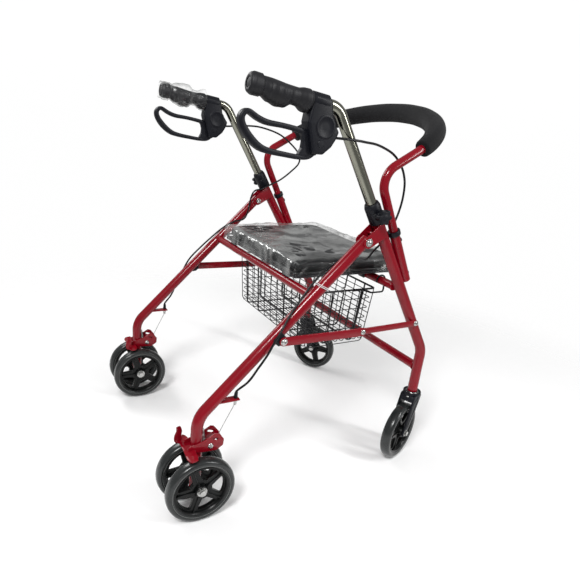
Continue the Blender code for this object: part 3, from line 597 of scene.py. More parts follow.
def weld(name, centre, axis, radius, body):
    """The bead where a tube meets a leg."""
    bead = 0.0022
    ring = [(radius + bead * 0.75 * cos(radians(a)), bead * sin(radians(a))) for a in range(-90, 91, 30)]

    def ripple(r, a, h):
        return r + 0.0002 * sin(26 * a) * (r > radius + 0.0004)
    return turned(name, ring, centre, axis, RED, body, steps=60, bend=ripple)


# Frame tubes
def front_legs():
    for side in SIDES:
        path = rounded([at(side, FRONT_FOOT), at(side, front_axis(FRONT_KNEE_Z)),
                        at(side, front_axis(FRONT_TOP_Z - 0.004))], KNEE_R, 16)
        tube(f"leg_front_{side}", path, LEG_R, RED, "front_frame", [f"front_leg_{side}"])
        rivet = at(side, LINK_D, 0.0128)
        out = X * SIDES[side]
        rod(f"link_pin_{side}", at(side, LINK_D, 0.009), at(side, LINK_D, 0.0165), 0.004, ZINC, "front_frame")
        dome_head(f"link_screw_{side}", rivet + out * 0.0034, out, 0.0068, 0.0032, "front_frame")
        for name, centre, radius in (("low", LOW_CROSS, LOW_CROSS_R), ("seat", FRONT_CROSS, CROSS_R)):
            reach = LEG_R - 0.0006
            weld(f"weld_{name}_{side}", at(side, centre, -reach), out, radius, "front_frame")


def cross_tubes():
    reach = X * (TRACK - 0.009)
    for name, centre, radius, body, node in (
            ("tube_low", LOW_CROSS, LOW_CROSS_R, "front_frame", "lower_cross_tube"),
            ("tube_seat_front", FRONT_CROSS, CROSS_R, "front_frame", "front_cross_tube"),
            ("tube_seat_rear", REAR_CROSS, CROSS_R, "rear_frame", "rear_cross_tube")):
        tube(name, [centre - reach, centre + reach], radius, RED, body, [node])
    for side in SIDES:
        weld(f"weld_rear_{side}", at(side, REAR_CROSS, -LEG_R + 0.0006), X * SIDES[side], CROSS_R,
             "rear_frame")


def hinge_brackets():
    lobe = arc(yz(HINGE), 0.0132, 112, 290, 20)
    outline = lobe + [yz(front_axis(0.598)), yz(front_axis(0.628))]
    for side in SIDES:
        first = None
        for label, sign in (("outer", 1), ("inner", -1)):
            middle = SIDES[side] * (TRACK + sign * (LEG_R + 0.0003 + 0.00125))
            piece = flat(f"gusset_{label}_{side}", [outline], 0.0025, middle, RED, "front_frame", edge=0.0007)
            first = first or piece
        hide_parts(f"hinge_bracket_{side}", f"hinge_bolt_{side}")
        towards = (front_axis(0.610) - HINGE).normalized()
        up = Vector((0, -towards.z, towards.y))
        centre = at(side, HINGE + towards * 0.0215)
        for shift in (-0.006, 0.006):
            spot = centre + up * shift
            rod(f"gusset_spacer_{side}_{shift > 0}", spot - X * 0.0135, spot + X * 0.0135, 0.0032, RED,
                "front_frame", edge=0.0003)
        out = X * SIDES[side]
        reach = LEG_R + 0.0029
        rod(f"hinge_shank_{side}", at(side, HINGE, -reach), at(side, HINGE, reach), 0.004, ZINC,
            "front_frame")
        turned(f"hinge_washer_{side}", rounded_rod(0.0088, 0.0009, 0.0003), at(side, HINGE, reach - 0.0002),
               out, ZINC, "front_frame", steps=32)
        dome_head(f"hinge_head_{side}", at(side, HINGE, reach + 0.0007), out, 0.0060, 0.0036, "front_frame")
        nut(f"hinge_nut_{side}", at(side, HINGE, -reach), -out, 0.0072, 0.0052, "front_frame")


def rear_legs():
    for side in SIDES:
        out = X * SIDES[side]
        path = rounded([at(side, HINGE + Vector((0, 0.004, 0.004))), at(side, REAR_KNEE),
                        at(side, REAR_FOOT)],
                       KNEE_R, 16)
        tube(f"leg_rear_{side}", path, LEG_R, RED, "rear_frame", [f"rear_leg_{side}"])
        middle = SIDES[side] * TRACK
        turned(f"leg_rear_plug_{side}", rounded_rod(LEG_R - 0.0004, 0.0022, 0.0009),
               at(side, REAR_FOOT) - Z * 0.0014, Z, PLASTIC, "rear_frame")
        lug = stadium(yz(BRAKE_PIVOT), (REAR_FOOT.y, BRAKE_PIVOT.z), 0.007)
        flat(f"brake_lug_{side}", [lug], 0.010, middle, RED, "rear_frame", edge=0.001)
        tab = [(CABLE_TAB.y - 0.045, -0.0015), (CABLE_TAB.y + 0.0075, -0.0015),
               (CABLE_TAB.y + 0.0075, 0.0015), (CABLE_TAB.y - 0.045, 0.0015)]
        tab = [(y, CABLE_TAB.z + z) for y, z in tab]
        flat(f"cable_tab_{side}", [soft_ring(tab, 0.0012, 3)], 0.018, middle, RED, "rear_frame", edge=0.0006)
        plug = at(side, HINGE + Vector((0, 0.004, 0.004)))
        turned(f"leg_top_plug_{side}", [(0, 0.0042), (0.006, 0.0036), (0.0100, 0.0016),
                                        (LEG_R - 0.0004, -0.001)],
               plug, -REAR_DOWN, PLASTIC, "rear_frame")
        axle = at(side, (0, REAR_FOOT.y, WHEEL_R))
        rod(f"axle_{side}", axle - X * 0.0520, axle + X * 0.0520, 0.005, ZINC, "rear_frame",
            [f"rear_axle_{side}"])
        for sign, label in ((1, "outer"), (-1, "inner")):
            away = out * sign
            turned(f"axle_spacer_{label}_{side}", rounded_rod(0.008, 0.0086, 0.0006), axle + away * 0.0131,
                   away, ZINC, "rear_frame", steps=32)
            turned(f"axle_washer_{label}_{side}", rounded_rod(0.0092, 0.0012, 0.0004), axle + away * 0.0481,
                   away, ZINC, "rear_frame", steps=32)
            nut(f"axle_nut_{label}_{side}", axle + away * 0.0492, away, 0.0078, 0.0038, "rear_frame")
        weld(f"weld_axle_{side}", axle + out * 0.0122, out, 0.0062, "rear_frame")
    tie_at = HINGE + REAR_DOWN * 0.132
    tie_across = (REAR_UP + REAR_DOWN * 0.35).normalized()
    for label, shift in (("one", 0.0), ("two", 0.0032)):
        ring = []
        centre = at("r", tie_at + REAR_DOWN * shift)
        for i in range(40):
            a = 2 * pi * i / 40
            reach = LEG_R + 0.0011
            ring.append(centre + X * cos(a) * reach + tie_across * sin(a) * reach)
        profile = [(0.0010, 0.0006), (-0.0010, 0.0006), (-0.0010, -0.0006), (0.0010, -0.0006)]
        add(f"tie_{label}", swept_mesh(ring, profile, closed=True), NYLON, "rear_frame")


# Backrest
def sockets():
    for side in SIDES:
        top = at(side, SOCKET_TOP)
        foot = top - SOCKET_UP * 0.128
        bore = BACK_TUBE_R + 0.0004
        profile = [(0, 0), (SOCKET_R - 0.0008, 0), (SOCKET_R, 0.0008), (SOCKET_R, 0.128), (bore, 0.128),
                   (bore, 0.110), (0, 0.110)]
        turned(f"socket_{side}", profile, foot, SOCKET_UP, RED, "front_frame", [f"backrest_socket_{side}"])
        sleeve = [(bore, 0.0), (SOCKET_R + 0.0026, 0.0), (SOCKET_R + 0.0030, -0.0015),
                  (SOCKET_R + 0.0030, -0.0095), (SOCKET_R + 0.0024, -0.0110), (SOCKET_R, -0.0110)]
        sleeve = [(r, h + 0.0035) for r, h in [(bore, -0.0025)] + sleeve]
        turned(f"socket_collar_{side}", sleeve, top, SOCKET_UP, PLASTIC, "front_frame")
        spot = top - SOCKET_UP * 0.024
        eyelet = [(0.0060, 0.0108), (0.0062, 0.0118), (0.0056, 0.0122), (0.0046, 0.0118), (0.0043, 0.0100)]
        turned(f"socket_eyelet_{side}", eyelet, spot, SOCKET_AHEAD, PLASTIC, "front_frame", steps=32)
        button = [(0, 0.0142), (0.0018, 0.0139), (0.0031, 0.0129), (0.0038, 0.0112), (0.0038, 0.0098)]
        turned(f"button_{side}", button, spot, SOCKET_AHEAD, ZINC, f"button_{side}", [f"snap_button_{side}"],
               steps=32)
        rivet = top - SOCKET_UP * 0.112
        dome_head(f"socket_rivet_{side}", rivet + SOCKET_AHEAD * (SOCKET_R - 0.0006), SOCKET_AHEAD, 0.0045,
                  0.003, "front_frame", PLASTIC)


def backrest_path(trim=0.0, steps=64):
    loop = []
    for i in range(steps + 1):
        a = radians(trim + (180 - 2 * trim) * i / steps)
        loop.append(Vector((TRACK * cos(a), 0, 0)) + BACK_START + (BACK_APEX - BACK_START) * sin(a))
    return loop


def backrest():
    foot = SOCKET_TOP - SOCKET_UP * 0.090
    loop = backrest_path()
    rise = (BACK_APEX - BACK_START).normalized()
    down = (BACK_START.y - SOCKET_TOP.y) * SOCKET_UP.z - (BACK_START.z - SOCKET_TOP.z) * SOCKET_UP.y
    corner = BACK_START - rise * (down / (rise.y * SOCKET_UP.z - rise.z * SOCKET_UP.y))
    right = rounded([at("r", foot), at("r", corner), loop[0]], 0.042, 16)
    left = rounded([at("l", foot), at("l", corner), loop[-1]], 0.042, 16)
    path = right[:-1] + loop + left[:-1][::-1]
    tube("tube_backrest", path, BACK_TUBE_R, RED, "backrest", ["backrest_tube"])

    def body(t):
        end = min(t, 1 - t)
        return 0.80 + 0.20 * min(1, end / 0.16) ** 0.6 + 0.006 * sin(t * 61) * min(1, end * 8)
    ring = circle((0, 0), PAD_R, 48)
    pad = add("foam_sleeve", swept_mesh(backrest_path(4, 120), ring, scale=body), FOAM, "backrest",
              ["backrest_pad"], sharp=60)
    soften(pad, 0.004, 4)


# Height collars and knobs
def collars():
    for side in SIDES:
        top = at(side, front_axis(FRONT_TOP_Z))
        out = X * SIDES[side]
        neck = 0.0114
        profile = [(neck, 0.0200), (0.0140, 0.0200), (0.0147, 0.0194), (0.0168, 0.0128), (0.0170, 0.0118),
                   (0.0170, 0.0030), (0.0164, 0.0022), (0.0164, 0.0006), (0.0170, -0.0002), (0.0170, -0.0252),
                   (0.0164, -0.0262), (0.0130, -0.0262)]
        turned(f"collar_{side}", profile, top, LEG_UP, PLASTIC, "front_frame", [f"height_collar_{side}"],
               steps=56)
        boss = at(side, front_axis(0.643))
        turned(f"collar_boss_{side}", [(0.0112, 0.012), (0.0104, 0.0205), (0.0096, 0.0214), (0.0050, 0.0214)],
               boss, out, PLASTIC, "front_frame")
        dome_head(f"collar_pin_{side}", at(side, front_axis(0.6285)) + out * 0.0162, out, 0.0030, 0.0022,
                  "front_frame")
        lobes = []
        for i in range(96):
            a = 2 * pi * i / 96
            r = 0.0148 + 0.0024 * cos(6 * a) - 0.0004 * cos(12 * a)
            lobes.append((boss.y + r * cos(a), boss.z + r * sin(a)))
        knob = flat(f"star_knob_{side}", [lobes], 0.0135, boss.x + SIDES[side] * 0.0290, PLASTIC,
                    f"knob_{side}", [f"clamp_knob_{side}"], edge=0.0022, segments=4)
        turned(f"knob_neck_{side}", [(0.0085, 0.0218), (0.0085, 0.0235), (0.0105, 0.0255)], boss, out,
               PLASTIC, f"knob_{side}")
        turned(f"knob_cap_{side}", [(0, 0.0362), (0.0062, 0.0360), (0.0078, 0.0352), (0.0082, 0.0340)],
               boss, out, PLASTIC, f"knob_{side}")
        rod(f"knob_stud_{side}", boss + out * 0.0131, boss + out * 0.024, 0.004, ZINC, f"knob_{side}")


# Handles
def grip_start():
    reach = (HOUSING_BACK_Y - HANDLE_CORNER.y) / GRIP_RISE.y
    return HANDLE_CORNER + GRIP_RISE * reach


def handle_tubes():
    for side in SIDES:
        foot = at(side, front_axis(FRONT_TOP_Z)) - LEG_UP * 0.150
        end = at(side, HANDLE_CORNER + GRIP_RISE * 0.180)
        path = rounded([foot, at(side, HANDLE_CORNER), end], 0.035, 24)
        tube(f"handle_{side}", path, HANDLE_R, CHROME, f"handle_{side}", [f"handle_tube_{side}"], sides=48)


def blend_between(knots, t):
    """The knots' value at t, smoothly interpolated."""
    for (t0, v0), (t1, v1) in zip(knots, knots[1:]):
        if t <= t1:
            s = (t - t0) / (t1 - t0)
            return v0 + (v1 - v0) * s * s * (3 - 2 * s)
    return knots[-1][1]


GRIP_TOP = [(0.0, 0.0150), (0.006, 0.0172), (0.014, 0.0168), (0.028, 0.0140), (0.045, 0.0142),
            (0.085, 0.0165), (0.098, 0.0165), (0.0995, 0.0160), (0.1008, 0.0190), (0.114, 0.0192),
            (0.120, 0.0170), (0.122, 0.0140)]
GRIP_BELLY = [(0.0, 0.0200), (0.006, 0.0240), (0.012, 0.0236), (0.028, 0.0168), (0.036, 0.0165),
              (0.052, 0.0250), (0.066, 0.0262), (0.082, 0.0225), (0.098, 0.0160), (0.0995, 0.0156),
              (0.1008, 0.0180), (0.114, 0.0182), (0.120, 0.0160), (0.122, 0.0130)]
RIDGES = (0.047, 0.060, 0.073, 0.086)


def grips():
    """Moulded rubber: a flare at the housing, a belly for the palm, finger ridges and an end cap."""
    for side in SIDES:
        start = at(side, grip_start()) + GRIP_RISE * 0.0004
        up = X.cross(GRIP_RISE).normalized()
        up = up if up.z > 0 else -up
        made = bmesh.new()
        rows = []
        stations = sorted({GRIP_L * i / 90 for i in range(91)} | {0.1002, 0.1008, 0.1135, 0.1145})
        for h, size in [(h, 1) for h in stations] + [(GRIP_L + 0.0006, 0.88), (GRIP_L - 0.0002, 0.66),
                                                     (GRIP_L - 0.0012, 0.60), (GRIP_L - 0.0004, 0.30)]:
            row = []
            high, low = [size * blend_between(line, min(h, GRIP_L)) for line in (GRIP_TOP, GRIP_BELLY)]
            wide = (high + low) / 2 * 0.97
            ridge = sum(exp(-((h - r) / 0.0028) ** 2) for r in RIDGES)
            for i in range(64):
                a = 2 * pi * i / 64
                reach = high if sin(a) > 0 else low
                flank = max(0, 1 - abs(sin(a) + 0.1) * 1.35)
                swell = 1 + 0.075 * ridge * flank
                row.append(made.verts.new(start + GRIP_RISE * h + X * wide * cos(a) * swell
                                          + up * reach * sin(a) * swell))
            rows.append(row)
        for lower, higher in zip(rows, rows[1:]):
            for i in range(64):
                j = (i + 1) % 64
                made.faces.new((lower[i], lower[j], higher[j], higher[i]))
        made.faces.new(rows[0][::-1])
        made.faces.new(rows[-1])
        bmesh.ops.recalc_face_normals(made, faces=made.faces)
        mesh = bpy.data.meshes.new(f"grip_{side}")
        made.to_mesh(mesh)
        made.free()
        grip = add(f"handgrip_{side}", mesh, GRIP, f"handle_{side}", [f"grip_{side}"], sharp=50)
    film_on_grip()


def film_on_grip():
    """The loose clear film still wrapped round the left grip."""
    start = at("l", grip_start())
    up = X.cross(GRIP_RISE).normalized()
    up = up if up.z > 0 else -up
    made = bmesh.new()
    rows = []
    for k in range(61):
        h = 0.004 + 0.121 * k / 60
        reach = max(blend_between(GRIP_TOP, min(h, 0.12)), blend_between(GRIP_BELLY, min(h, 0.12)))
        row = []
        for i in range(72):
            a = 2 * pi * i / 72
            spot = Vector((cos(a) * 1.6, sin(a) * 1.6, h * 60))
            crumple = noise.noise(spot) * 0.0020 + noise.noise(spot * 2.7) * 0.0011
            r = reach + 0.0022 + abs(crumple) + 0.0006 * sin(5 * a + h * 140)
            row.append(made.verts.new(start + GRIP_RISE * h + X * r * cos(a) + up * r * sin(a)))
        rows.append(row)
    for lower, higher in zip(rows, rows[1:]):
        for i in range(72):
            j = (i + 1) % 72
            made.faces.new((lower[i], lower[j], higher[j], higher[i]))
    bmesh.ops.recalc_face_normals(made, faces=made.faces)
    mesh = bpy.data.meshes.new("grip_film")
    made.to_mesh(mesh)
    made.free()
    film = add("grip_film", mesh, FILM, "handle_l", sharp=180)


def housings():
    for side in SIDES:
        out = X * SIDES[side]
        middle = SIDES[side] * TRACK
        back = HOUSING_BACK_Y
        outline = soft_ring([
            (back + 0.0028, 0.8560), (-0.0660, 0.8500), (-0.0600, 0.8180), (-0.0445, 0.7970),
            (-0.0500, 0.7830), (-0.0580, 0.7700), (-0.0750, 0.7560), (-0.0980, 0.7560),
            (-0.1040, 0.7800), (back - 0.0060, 0.8100),
            (back - 0.0040, 0.8240)], 0.0055, 5)
        name = f"housing_{side}"
        body = flat(name, [outline], 0.031, middle, PLASTIC, f"handle_{side}", [f"brake_housing_{side}"],
                    edge=0.0045, segments=4)
        sleeve = [(0.0117, 0.0), (0.0150, 0.0), (0.0160, 0.0012), (0.0160, 0.0340), (0.0148, 0.0365),
                  (0.0117, 0.0365)]
        turned(f"housing_clamp_{side}", sleeve[::-1], at(side, grip_start()) - GRIP_RISE * 0.0368,
               GRIP_RISE, PLASTIC, f"handle_{side}", steps=56)
        for sign, label in ((1, "outer"), (-1, "inner")):
            face = at(side, (0, -0.0765, 0.8040)) + out * sign * 0.0150
            boss = [(0.0215, -0.002), (0.0213, 0.0008), (0.0200, 0.0016), (0.0165, 0.0018), (0.0155, 0.0012),
                    (0.0060, 0.0010), (0, 0.0012)]
            turned(f"housing_boss_{label}_{side}", boss, face, out * sign, PLASTIC, f"handle_{side}",
                   steps=64)
            face = at(side, LEVER_PIVOT) + out * sign * 0.0148
            cap = [(0.0066, -0.002), (0.0066, 0.0012), (0.0058, 0.0020), (0, 0.0022)]
            turned(f"pivot_cap_{label}_{side}", cap, face, out * sign, PLASTIC, f"handle_{side}", steps=40)
        tail = smooth_route([at(side, (0, y, z), dx) for dx, y, z in UPPER_ROUTE[side][:3]], 6)
        ahead = (tail[3] - tail[0]).normalized()
        base = tail[0] - ahead * 0.012
        turned(f"adjuster_body_{side}", rounded_rod(0.0048, 0.0090, 0.0008), base, ahead, ZINC,
               f"handle_{side}", steps=32)
        nut(f"adjuster_nut_{side}", base + ahead * 0.0085, ahead, 0.0056, 0.0034, f"handle_{side}")
        screw_thread(f"adjuster_thread_{side}", base + ahead * 0.0115, base + ahead * 0.0175, 0.0034, 0.0010,
                     f"handle_{side}")


# The loop's middle line and half its thickness
LEVER_LOOP = [(-0.0850, 0.7810, 0.0050), (-0.1000, 0.7900, 0.0050), (-0.1240, 0.7955, 0.0048),
              (-0.1550, 0.8000, 0.0046), (-0.1880, 0.8030, 0.0050), (-0.2080, 0.8090, 0.0050),
              (-0.2270, 0.8180, 0.0046), (-0.2375, 0.8105, 0.0052), (-0.2360, 0.7960, 0.0062),
              (-0.2225, 0.7780, 0.0070), (-0.2030, 0.7630, 0.0064), (-0.1830, 0.7565, 0.0054),
              (-0.1500, 0.7520, 0.0048), (-0.1180, 0.7490, 0.0046), (-0.0970, 0.7515, 0.0046),
              (-0.0840, 0.7650, 0.0046)]


def levers():
    """One loop strap, wide at its tip and narrow where it enters the housing."""
    for side in SIDES:
        knots = [at(side, (0, y, z)) for y, z, half in LEVER_LOOP]
        count = 8 * len(knots)
        path = smooth_route(knots[-2:] + knots + knots[:2], 8)[16:16 + count]
        halves = [Vector((half, 0, 0)) for y, z, half in LEVER_LOOP]
        halves = [v.x for v in smooth_route(halves[-2:] + halves + halves[:2], 8)[16:16 + count]]
        tangents = [(path[(i + 1) % len(path)] - path[i - 1]).normalized() for i in range(len(path))]
        made = bmesh.new()
        rows = []
        for point, tangent, thick in zip(path, tangents, halves):
            away = Vector((0, -tangent.z, tangent.y))
            reach = (-0.1050 - point.y) / 0.11
            share = min(1, max(0, reach))
            half = 0.0050 + 0.0038 * share
            row = []
            for i in range(24):
                a = 2 * pi * i / 24
                u = abs(cos(a)) ** 0.45 * (1 if cos(a) > 0 else -1)
                v = abs(sin(a)) ** 0.6 * (1 if sin(a) > 0 else -1)
                row.append(made.verts.new(point + X * half * u + away * thick * v))
            rows.append(row)
        for lower, higher in zip(rows, rows[1:] + rows[:1]):
            for i in range(24):
                j = (i + 1) % 24
                made.faces.new((lower[i], lower[j], higher[j], higher[i]))
        bmesh.ops.recalc_face_normals(made, faces=made.faces)
        mesh = bpy.data.meshes.new(f"lever_{side}")
        made.to_mesh(mesh)
        made.free()
        lever = add(f"lever_strap_{side}", mesh, PLASTIC, f"lever_{side}", [f"brake_lever_{side}"], sharp=60)
        web = [(-0.0830, 0.7900), (-0.1120, 0.7940), (-0.1245, 0.7950), (-0.1175, 0.7860), (-0.1150, 0.7760),
               (-0.1160, 0.7650), (-0.1235, 0.7510), (-0.1100, 0.7490), (-0.0830, 0.7540)]
        flat(f"lever_web_{side}", [soft_ring(web, 0.0030, 5)], 0.0104, SIDES[side] * TRACK, PLASTIC,
             f"lever_{side}", edge=0.0015, segments=3)
        pivot = at(side, LEVER_PIVOT)
        turned(f"lever_hub_{side}", rounded_rod(0.0100, 0.0104, 0.001), pivot - X * 0.0052, X, PLASTIC,
               f"lever_{side}")


# Cables
UPPER_ROUTE = {
    "r": [(0.008, -0.0600, 0.7870), (0.0150, -0.0330, 0.7868), (0.0160, -0.0080, 0.7860),
          (0.0130, 0.0200, 0.7840), (0.004, 0.0600, 0.7800), (-0.012, 0.1140, 0.7650),
          (-0.018, 0.1460, 0.7420), (-0.0225, 0.1640, 0.7190), (-0.0250, 0.1720, 0.6955),
          (-0.0250, 0.1715, 0.6630), (-0.0245, 0.1620, 0.6260), (-0.0230, 0.1400, 0.5850),
          (-0.0210, 0.1100, 0.5580)],
    "l": [(0.008, -0.0600, 0.7870), (0.0150, -0.0330, 0.7880), (0.0160, -0.0080, 0.7905),
          (0.0120, 0.0200, 0.7935), (0.000, 0.0650, 0.7930), (-0.0200, 0.1180, 0.7780),
          (-0.0240, 0.1620, 0.7500), (-0.0260, 0.1860, 0.7250), (-0.0250, 0.1880, 0.7010),
          (-0.0245, 0.1650, 0.6770), (-0.0240, 0.1320, 0.6520), (-0.0230, 0.0980, 0.6350),
          (-0.0215, 0.0710, 0.6220)],
}
LOWER_ROUTE = [(0.062, -0.006, -0.0190), (0.098, 0.010, -0.0165), (0.135, 0.0175, -0.0080),
               (0.180, 0.0185, 0.0010), (0.225, 0.0170, 0.0100), (0.262, 0.0125, 0.0200),
               (0.290, 0.0060, 0.0215), (0.318, -0.0040, 0.0200), (0.350, -0.0130, 0.0160),
               (0.385, -0.0230, 0.0100)]


def cables():
    for side in SIDES:
        upper = smooth_route([at(side, (0, y, z), dx) for dx, y, z in UPPER_ROUTE[side]], 8)
        sleeve = add(f"cable_upper_{side}", swept_mesh(upper, circle((0, 0), CABLE_R, 16)), JACKET, None,
                     [f"upper_cable_{side}"], sharp=60)
        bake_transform(sleeve)
        start = upper[-1]
        ahead = (start - upper[-2]).normalized()
        route = [start - ahead * 0.0005, start + ahead * 0.030]
        route += [at(side, HINGE + REAR_DOWN * down + REAR_UP * rear, dx) for down, rear, dx in LOWER_ROUTE]
        route += [at(side, CABLE_TAB + Vector((0, 0.001, 0.018)), 0.002), at(side, CABLE_TAB + Z * 0.0020)]
        lower = smooth_route(route, 10)
        sleeve = add(f"cable_lower_{side}", swept_mesh(lower, circle((0, 0), CABLE_R, 16)), JACKET, None,
                     [f"lower_cable_{side}"], sharp=60)
        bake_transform(sleeve)
        tab = at(side, CABLE_TAB)
        down = (tab - at(side, CABLE_TAB + Vector((0, 0.001, 0.018)), 0.002)).normalized()
        turned(f"ferrule_{side}", [(0.0026, 0.0165), (0.0036, 0.0155), (0.0044, 0.0040), (0.0044, 0.0016),
                                   (0.0030, 0.0015)], tab, -down, PLASTIC, "rear_frame", steps=28)
        nut(f"wire_nut_{side}", tab - Z * 0.0072, Z, 0.0048, 0.0036, "rear_frame")
        turned(f"wire_barrel_{side}", rounded_rod(0.0032, 0.0080, 0.0006), tab - Z * 0.0145, Z, ZINC,
               "rear_frame", steps=24)
        clamp = at(side, (0, -0.2500, 0.1720))
        tube(f"brake_wire_{side}", [tab - Z * 0.012, clamp], 0.0008, STEEL, "rear_frame", sides=10)
        rod(f"wire_clamp_{side}", clamp - X * 0.0060, clamp + X * 0.0060, 0.0042, ZINC, f"brake_{side}")
        nut(f"wire_clamp_nut_{side}", clamp + X * SIDES[side] * 0.0058, X * SIDES[side], 0.0048, 0.003,
            f"brake_{side}")
        spring = []
        low, high = at(side, (0, -0.2790, 0.1700)), at(side, (0, -0.2835, 0.2000))
        axis = (high - low).normalized()
        across = X.cross(axis)
        for i in range(200):
            a = 2 * pi * i / 16
            spring.append(low + (high - low) * (i / 199) + (X * cos(a) + across * sin(a)) * 0.0026)
        tube(f"return_spring_{side}", spring, 0.00055, STEEL, "rear_frame", sides=8)


# Side links
def side_links():
    for side in SIDES:
        out = X * SIDES[side]
        for name, pivot, low, high, width, body, node in (
                ("bar_front", LINK_D, 0.0131, 0.0157, 0.0150, f"front_bar_{side}", f"front_link_{side}"),
                ("bar_rear", LINK_B, 0.0161, 0.0191, 0.0200, f"rear_bar_{side}", f"rear_link_{side}")):
            outline = stadium(yz(pivot), yz(LINK_C), width / 2)
            middle = SIDES[side] * (TRACK + (low + high) / 2)
            bar = flat(f"{name}_{side}", [outline], high - low, middle, RED, body, [node], edge=0.0008)
        face = at(side, LINK_C, 0.0190)
        dome_head(f"link_rivet_{side}", face, out, 0.0064, 0.0030, f"rear_bar_{side}")
        face = at(side, LINK_B, 0.0190)
        turned(f"link_washer_{side}", rounded_rod(0.0078, 0.0010, 0.0003), face, out, ZINC, "rear_frame",
               steps=32)
        dome_head(f"link_bolt_{side}", face + out * 0.0009, out, 0.0064, 0.0034, "rear_frame")
        foot = (LINK_B - HINGE).dot(REAR_DOWN)
        centre = HINGE + REAR_DOWN * foot
        along, across = REAR_DOWN, Vector((0, 1, -1)).normalized()
        corners = [(-0.0110, -0.0050), (-0.0110, 0.0130), (-0.0050, 0.0205), (0.0060, 0.0205),
                   (0.0150, 0.0130), (0.0150, -0.0050)]
        outline = [yz(centre + across * v + along * u) for u, v in corners]
        block = flat(f"link_block_{side}", [soft_ring(outline, 0.0030, 5)], 0.0200,
                     SIDES[side] * (TRACK + 0.0058),
                     PLASTIC, "rear_frame", [f"link_bracket_{side}"], edge=0.0018, segments=3)
        rod(f"link_shank_{side}", at(side, LINK_B, 0.012), at(side, LINK_B, 0.0192), 0.004, ZINC,
            "rear_frame")


# Brakes
def brake_arms():
    """Two cheeks on the leg, a strip over both tyres behind it, and an upright tab."""
    cheek = [(-0.3190, 0.1560), (-0.2950, 0.1525), (-0.2560, 0.1495), (-0.2415, 0.1590), (-0.2400, 0.1740),
             (-0.2520, 0.1900), (-0.2600, 0.1925), (-0.2830, 0.1800), (-0.3180, 0.1700)]
    slot = stadium((-0.2640, 0.1800), (-0.2560, 0.1770), 0.0026, 6)
    for side in SIDES:
        out = X * SIDES[side]
        first = None
        for label, sign in (("outer", 1), ("inner", -1)):
            middle = SIDES[side] * (TRACK + sign * (LEG_R + 0.0020))
            piece = flat(f"brake_cheek_{label}_{side}", [soft_ring(cheek, 0.003, 4), slot], 0.0020, middle,
                         RED, f"brake_{side}", edge=0.0006)
            first = first or piece
            face = at(side, BRAKE_PIVOT, sign * (LEG_R + 0.0028))
            dome_head(f"brake_bolt_{label}_{side}", face, out * sign, 0.0062, 0.0030, f"brake_{side}")
        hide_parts(f"brake_arm_{side}")
        ring = []
        for i in range(28):
            a = 2 * pi * i / 28
            u = abs(cos(a)) ** 0.35 * (1 if cos(a) > 0 else -1)
            v = abs(sin(a)) ** 0.8 * (1 if sin(a) > 0 else -1)
            ring.append((u, v))
        made = bmesh.new()
        rows = []
        for k in range(41):
            dx = -0.0475 + 0.095 * k / 40
            end = min(1, (0.0475 - abs(dx)) / 0.012)
            half = 0.0115 * (0.45 + 0.55 * max(0, end) ** 0.5)
            lift = 0.0035 * max(0, 1 - (abs(dx) / 0.024) ** 2)
            centre = at(side, (0, -0.3150, 0.1584 + lift), dx)
            slope = Vector((0, 1, 0.11)).normalized()
            rows.append([made.verts.new(centre + slope * u * half + Z * v * 0.0014) for u, v in ring])
        for low, high in zip(rows, rows[1:]):
            for i in range(28):
                j = (i + 1) % 28
                made.faces.new((low[i], low[j], high[j], high[i]))
        made.faces.new(rows[0][::-1])
        made.faces.new(rows[-1])
        bmesh.ops.recalc_face_normals(made, faces=made.faces)
        mesh = bpy.data.meshes.new(f"brake_strip_{side}")
        made.to_mesh(mesh)
        made.free()
        add(f"brake_strip_{side}", mesh, RED, f"brake_{side}", sharp=50)
        tab = smooth_route([at(side, (0, y, z), -0.0300) for y, z in (
            (-0.3200, 0.1590), (-0.3265, 0.1620), (-0.3270, 0.1720), (-0.3240, 0.1830),
            (-0.3262, 0.1950))], 6)
        strip = [(0.0013 * sin(2 * pi * i / 20), 0.0074 * cos(2 * pi * i / 20)) for i in range(20)]
        add(f"brake_tab_{side}", swept_mesh(tab, strip, scale=lambda t: 1.1 - 0.5 * t ** 3), RED,
            f"brake_{side}", sharp=60)
        bridge = soft_ring([(-0.2440, 0.1600), (-0.2412, 0.1600), (-0.2404, 0.1730), (-0.2432, 0.1735)],
                           0.0008, 3)
        flat(f"brake_bridge_{side}", [bridge], 0.0275, SIDES[side] * TRACK, RED, f"brake_{side}", edge=0.0004)


# Wheels
def oriented(mesh, centre, axis):
    """Turns a mesh made across X at the origin to a wheel's axis and centre."""
    turn = Vector(axis).to_track_quat("X", "Z").to_matrix().to_4x4()
    mesh.transform(Matrix.Translation(centre) @ turn)
    return mesh


TYRE = [(0.0604, 0.0100), (0.0622, 0.0112), (0.0640, 0.0116), (0.0646, 0.0124), (0.0668, 0.0130),
        (0.0690, 0.0129), (0.0712, 0.0121), (0.0732, 0.0106), (0.0746, 0.0082), (0.0754, 0.0050),
        (0.0757, 0.0016)]


